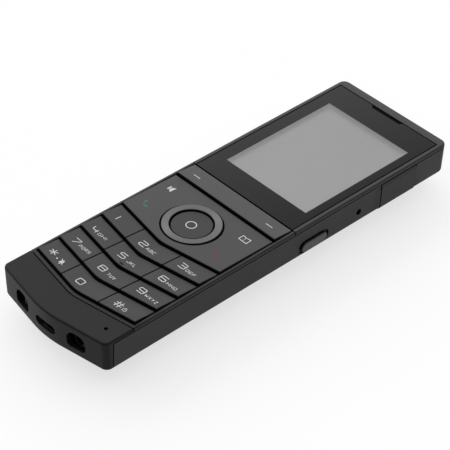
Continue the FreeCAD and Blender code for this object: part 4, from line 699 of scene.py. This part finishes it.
def near_screen(tree, parts, room, shift=(0, 0)):
    """1 over the screen's visible part and over that much room round it, moved by shift."""
    low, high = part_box("display_module")
    screen_low, screen_high = low.y + SCREEN_TAIL, high.y - SCREEN_EDGE
    middle = (screen_low + screen_high) / 2 + shift[1]
    across = maths(tree, "ABSOLUTE", maths(tree, "SUBTRACT", parts["X"], shift[0]))
    along = maths(tree, "ABSOLUTE", maths(tree, "SUBTRACT", parts["Y"], middle))
    half_long = (screen_high - screen_low) / 2
    return both_under(tree, across, high.x - SCREEN_EDGE + room, along, half_long + room)


def display_material():
    """Softly lit grey screen in a black border, a little paler towards its lower end."""
    material, tree, shader, place = new_material("display")
    parts = add_node(tree, "ShaderNodeSeparateXYZ", {"Vector": place}).outputs
    low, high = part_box("display_module")
    share = spread(tree, parts["Y"], 0.0, 1.0, low.y, high.y)
    cloud = noise(tree, place, SCREEN_CLOUD, 1.0)
    lit = near_screen(tree, parts, LIT_ROOM)
    for socket, lower, upper in SCREEN_GREYS:
        colour = blend_colours(tree, share, tone(lower), tone(upper))
        colour = times(tree, colour, spread(tree, cloud, 0.99, 1.01))
        tree.links.new(blend_colours(tree, lit, tone(2), colour), shader.inputs[socket])
    shader.inputs["Emission Strength"].default_value = 1.0
    shader.inputs["Roughness"].default_value = 0.3
    shader.inputs["Specular IOR Level"].default_value = 0.25
    return material


def mixed(tree, share, first, second):
    """The first shader where share is 0 and the second where it is 1."""
    return add_node(tree, "ShaderNodeMixShader", {0: share, 1: first, 2: second}).outputs[0]


def lens_material():
    """A clear window in glossy black print, with a dark ground edge round the front."""
    material, tree, shader, place = new_material("lens_glass")
    lens_low, lens_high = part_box("glass_lens")
    parts = add_node(tree, "ShaderNodeSeparateXYZ", {"Vector": place}).outputs
    across = maths(tree, "ABSOLUTE", parts["X"])
    thick = lens_high.z - lens_low.z
    inside = near_screen(tree, parts, LIT_ROOM)
    window = near_screen(tree, parts, 0.0, [lean * thick for lean in WINDOW_LEAN])
    along = maths(tree, "ABSOLUTE", maths(tree, "SUBTRACT", parts["Y"], node_middle("glass_lens").y))
    half_long = (lens_high.y - lens_low.y) / 2
    polished = both_under(tree, across, lens_high.x - GROUND_EDGE, along, half_long - GROUND_EDGE)
    front = maths(tree, "GREATER_THAN", parts["Z"], lens_high.z - FRONT_DEPTH)
    smear = noise(tree, place, SMEAR_SIZE, 2.0)
    tree.links.new(blend_colours(tree, smear, tone(1), tone(4)), shader.inputs["Base Color"])
    tree.links.new(spread(tree, smear, 0.5, 0.6), shader.inputs["Roughness"])
    shader.inputs["Specular IOR Level"].default_value = 0.0
    clear = add_node(tree, "ShaderNodeBsdfTransparent").outputs[0]
    shine = add_node(tree, "ShaderNodeBsdfGlossy", {"Roughness": GLASS_ROUGHNESS}).outputs[0]
    fresnel = add_node(tree, "ShaderNodeFresnel", {"IOR": GLASS_IOR}).outputs[0]
    back = tree.nodes.new("ShaderNodeNewGeometry").outputs["Backfacing"]
    share = maths(tree, "MULTIPLY", fresnel, maths(tree, "SUBTRACT", 1.0, back))
    black = shader.outputs[0]
    front_face = mixed(tree, window, mixed(tree, share, black, shine), clear)
    other_faces = mixed(tree, inside, black, clear)
    polished_front = maths(tree, "MULTIPLY", front, polished)
    ground_front = maths(tree, "MULTIPLY", front, maths(tree, "SUBTRACT", 1.0, polished))
    faces = mixed(tree, polished_front, other_faces, front_face)
    whole = mixed(tree, ground_front, faces, black)
    tree.links.new(whole, tree.nodes["Material Output"].inputs["Surface"])
    return material


paint(["receiver_mesh"], mesh_metal())
paint(["display_module"], display_material())
paint(["glass_lens"], lens_material())

key_signs(ink_white)
# The nub is painted with the near-black rubber, standing in for the shade of the raised bar
finding_nub(rubber)
plate_signs(ink_white, ink_green, ink_red)
bar_signs(ink_white)
centre_sign(ink_white)


# Floor, light and camera

# Two levels and the span between them: the sky's strength by the cosine to LAMP_SIDE, a factor on it
# by its sideways lean, and the white that reflections find near the horizon by its height
# The camera was fitted to the photograph, whose side and focal length are in pixels

WHITE = (1, 1, 1, 1)
FLOOR_HALF, FLOOR_DROP, FLOOR_CLOUD = 3.0, 0.1 * MM, 60 * MM
FLOOR_GLOW = 0.69
LAMP_SIDE = Vector((-0.45, 0.5, 0.74))
LAMP_LEVELS, LAMP_SPAN = (0.1, 1.45), (-0.1, 0.85)
LEAN_LEVELS, LEAN_SPAN, LEAST_HEIGHT = (1.4, 0.6), (-0.92, -0.74), 0.1
HORIZON_LEVELS, HORIZON_SPAN = (1.0, 0.0), (0.1, 0.3)
PICTURE_SIDE, FOCAL_PIXELS, SENSOR_WIDE = 450, 2021.16, 36
CAMERA_PLACE = Vector((353.344, -365.021, 428.127)) * MM
CAMERA_TURN = Vector((2.09494865, 0.92263351, -0.37735113))


def background_rays(tree):
    """1 for rays that should find the plain white background."""
    path = tree.nodes.new("ShaderNodeLightPath").outputs
    seen = maths(tree, "MAXIMUM", path["Is Camera Ray"], path["Is Glossy Ray"])
    return maths(tree, "MAXIMUM", seen, path["Is Transmission Ray"])


def make_floor():
    """A pale floor that keeps the shadow."""
    mesh = bpy.data.meshes.new("floor")
    corners = [(FLOOR_HALF * x, FLOOR_HALF * y, 0) for x, y in ((-1, -1), (1, -1), (1, 1), (-1, 1))]
    mesh.from_pydata(corners, [], [(0, 1, 2, 3)])
    floor = bpy.data.objects.new("floor", mesh)
    SCENE.collection.objects.link(floor)
    floor.location.z = -FLOOR_DROP
    material, tree, shader, place = new_material("floor")
    cloud = noise(tree, place, FLOOR_CLOUD)
    tree.links.new(blend_colours(tree, cloud, tone(172), tone(175)), shader.inputs["Base Color"])
    shader.inputs["Roughness"].default_value = 0.9
    shader.inputs["Specular IOR Level"].default_value = 0.0
    shader.inputs["Emission Color"].default_value = WHITE
    glow = maths(tree, "MULTIPLY", background_rays(tree), FLOOR_GLOW)
    tree.links.new(glow, shader.inputs["Emission Strength"])
    mesh.materials.append(material)


def make_world():
    """A white studio, lit most from above and behind on the left."""
    world = bpy.data.worlds.new("studio")
    SCENE.world = world
    world.use_nodes = True
    tree = world.node_tree
    sky = tree.nodes["Background"]
    place = tree.nodes.new("ShaderNodeTexCoord").outputs["Generated"]
    lit = add_node(tree, "ShaderNodeVectorMath", {0: place, 1: tuple(LAMP_SIDE.normalized())},
                   operation="DOT_PRODUCT").outputs["Value"]
    glow = spread(tree, lit, *LAMP_LEVELS, *LAMP_SPAN)
    parts = add_node(tree, "ShaderNodeSeparateXYZ", {"Vector": place}).outputs
    lean = maths(tree, "DIVIDE", parts["X"], maths(tree, "MAXIMUM", parts["Z"], LEAST_HEIGHT))
    glow = maths(tree, "MULTIPLY", glow, spread(tree, lean, *LEAN_LEVELS, *LEAN_SPAN))
    camera_ray = tree.nodes.new("ShaderNodeLightPath").outputs["Is Camera Ray"]
    low_sky = spread(tree, parts["Z"], *HORIZON_LEVELS, *HORIZON_SPAN)
    horizon = maths(tree, "MULTIPLY", background_rays(tree), low_sky)
    white = maths(tree, "MAXIMUM", camera_ray, horizon)
    seen = add_node(tree, "ShaderNodeMix", {0: white, 2: glow, 3: 1.0})
    tree.links.new(seen.outputs[0], sky.inputs["Strength"])
    sky.inputs["Color"].default_value = WHITE


def make_camera():
    """The photograph's camera, worked back from the phone's own sizes."""
    data = bpy.data.cameras.new("camera")
    data.sensor_width = SENSOR_WIDE
    data.lens = FOCAL_PIXELS * SENSOR_WIDE / PICTURE_SIDE
    data.clip_start, data.clip_end = 0.01, 20
    camera = bpy.data.objects.new("camera", data)
    SCENE.collection.objects.link(camera)
    to_camera = Matrix.Rotation(CAMERA_TURN.length, 3, CAMERA_TURN.normalized())
    flip = Matrix(((1, 0, 0), (0, -1, 0), (0, 0, -1)))
    camera.matrix_world = (to_camera.transposed() @ flip).to_4x4()
    camera.location = CAMERA_PLACE
    SCENE.camera = camera


make_floor()
make_world()
make_camera()
SCENE.view_settings.view_transform = "Standard"
SCENE.render.resolution_x = SCENE.render.resolution_y = PICTURE_SIDE
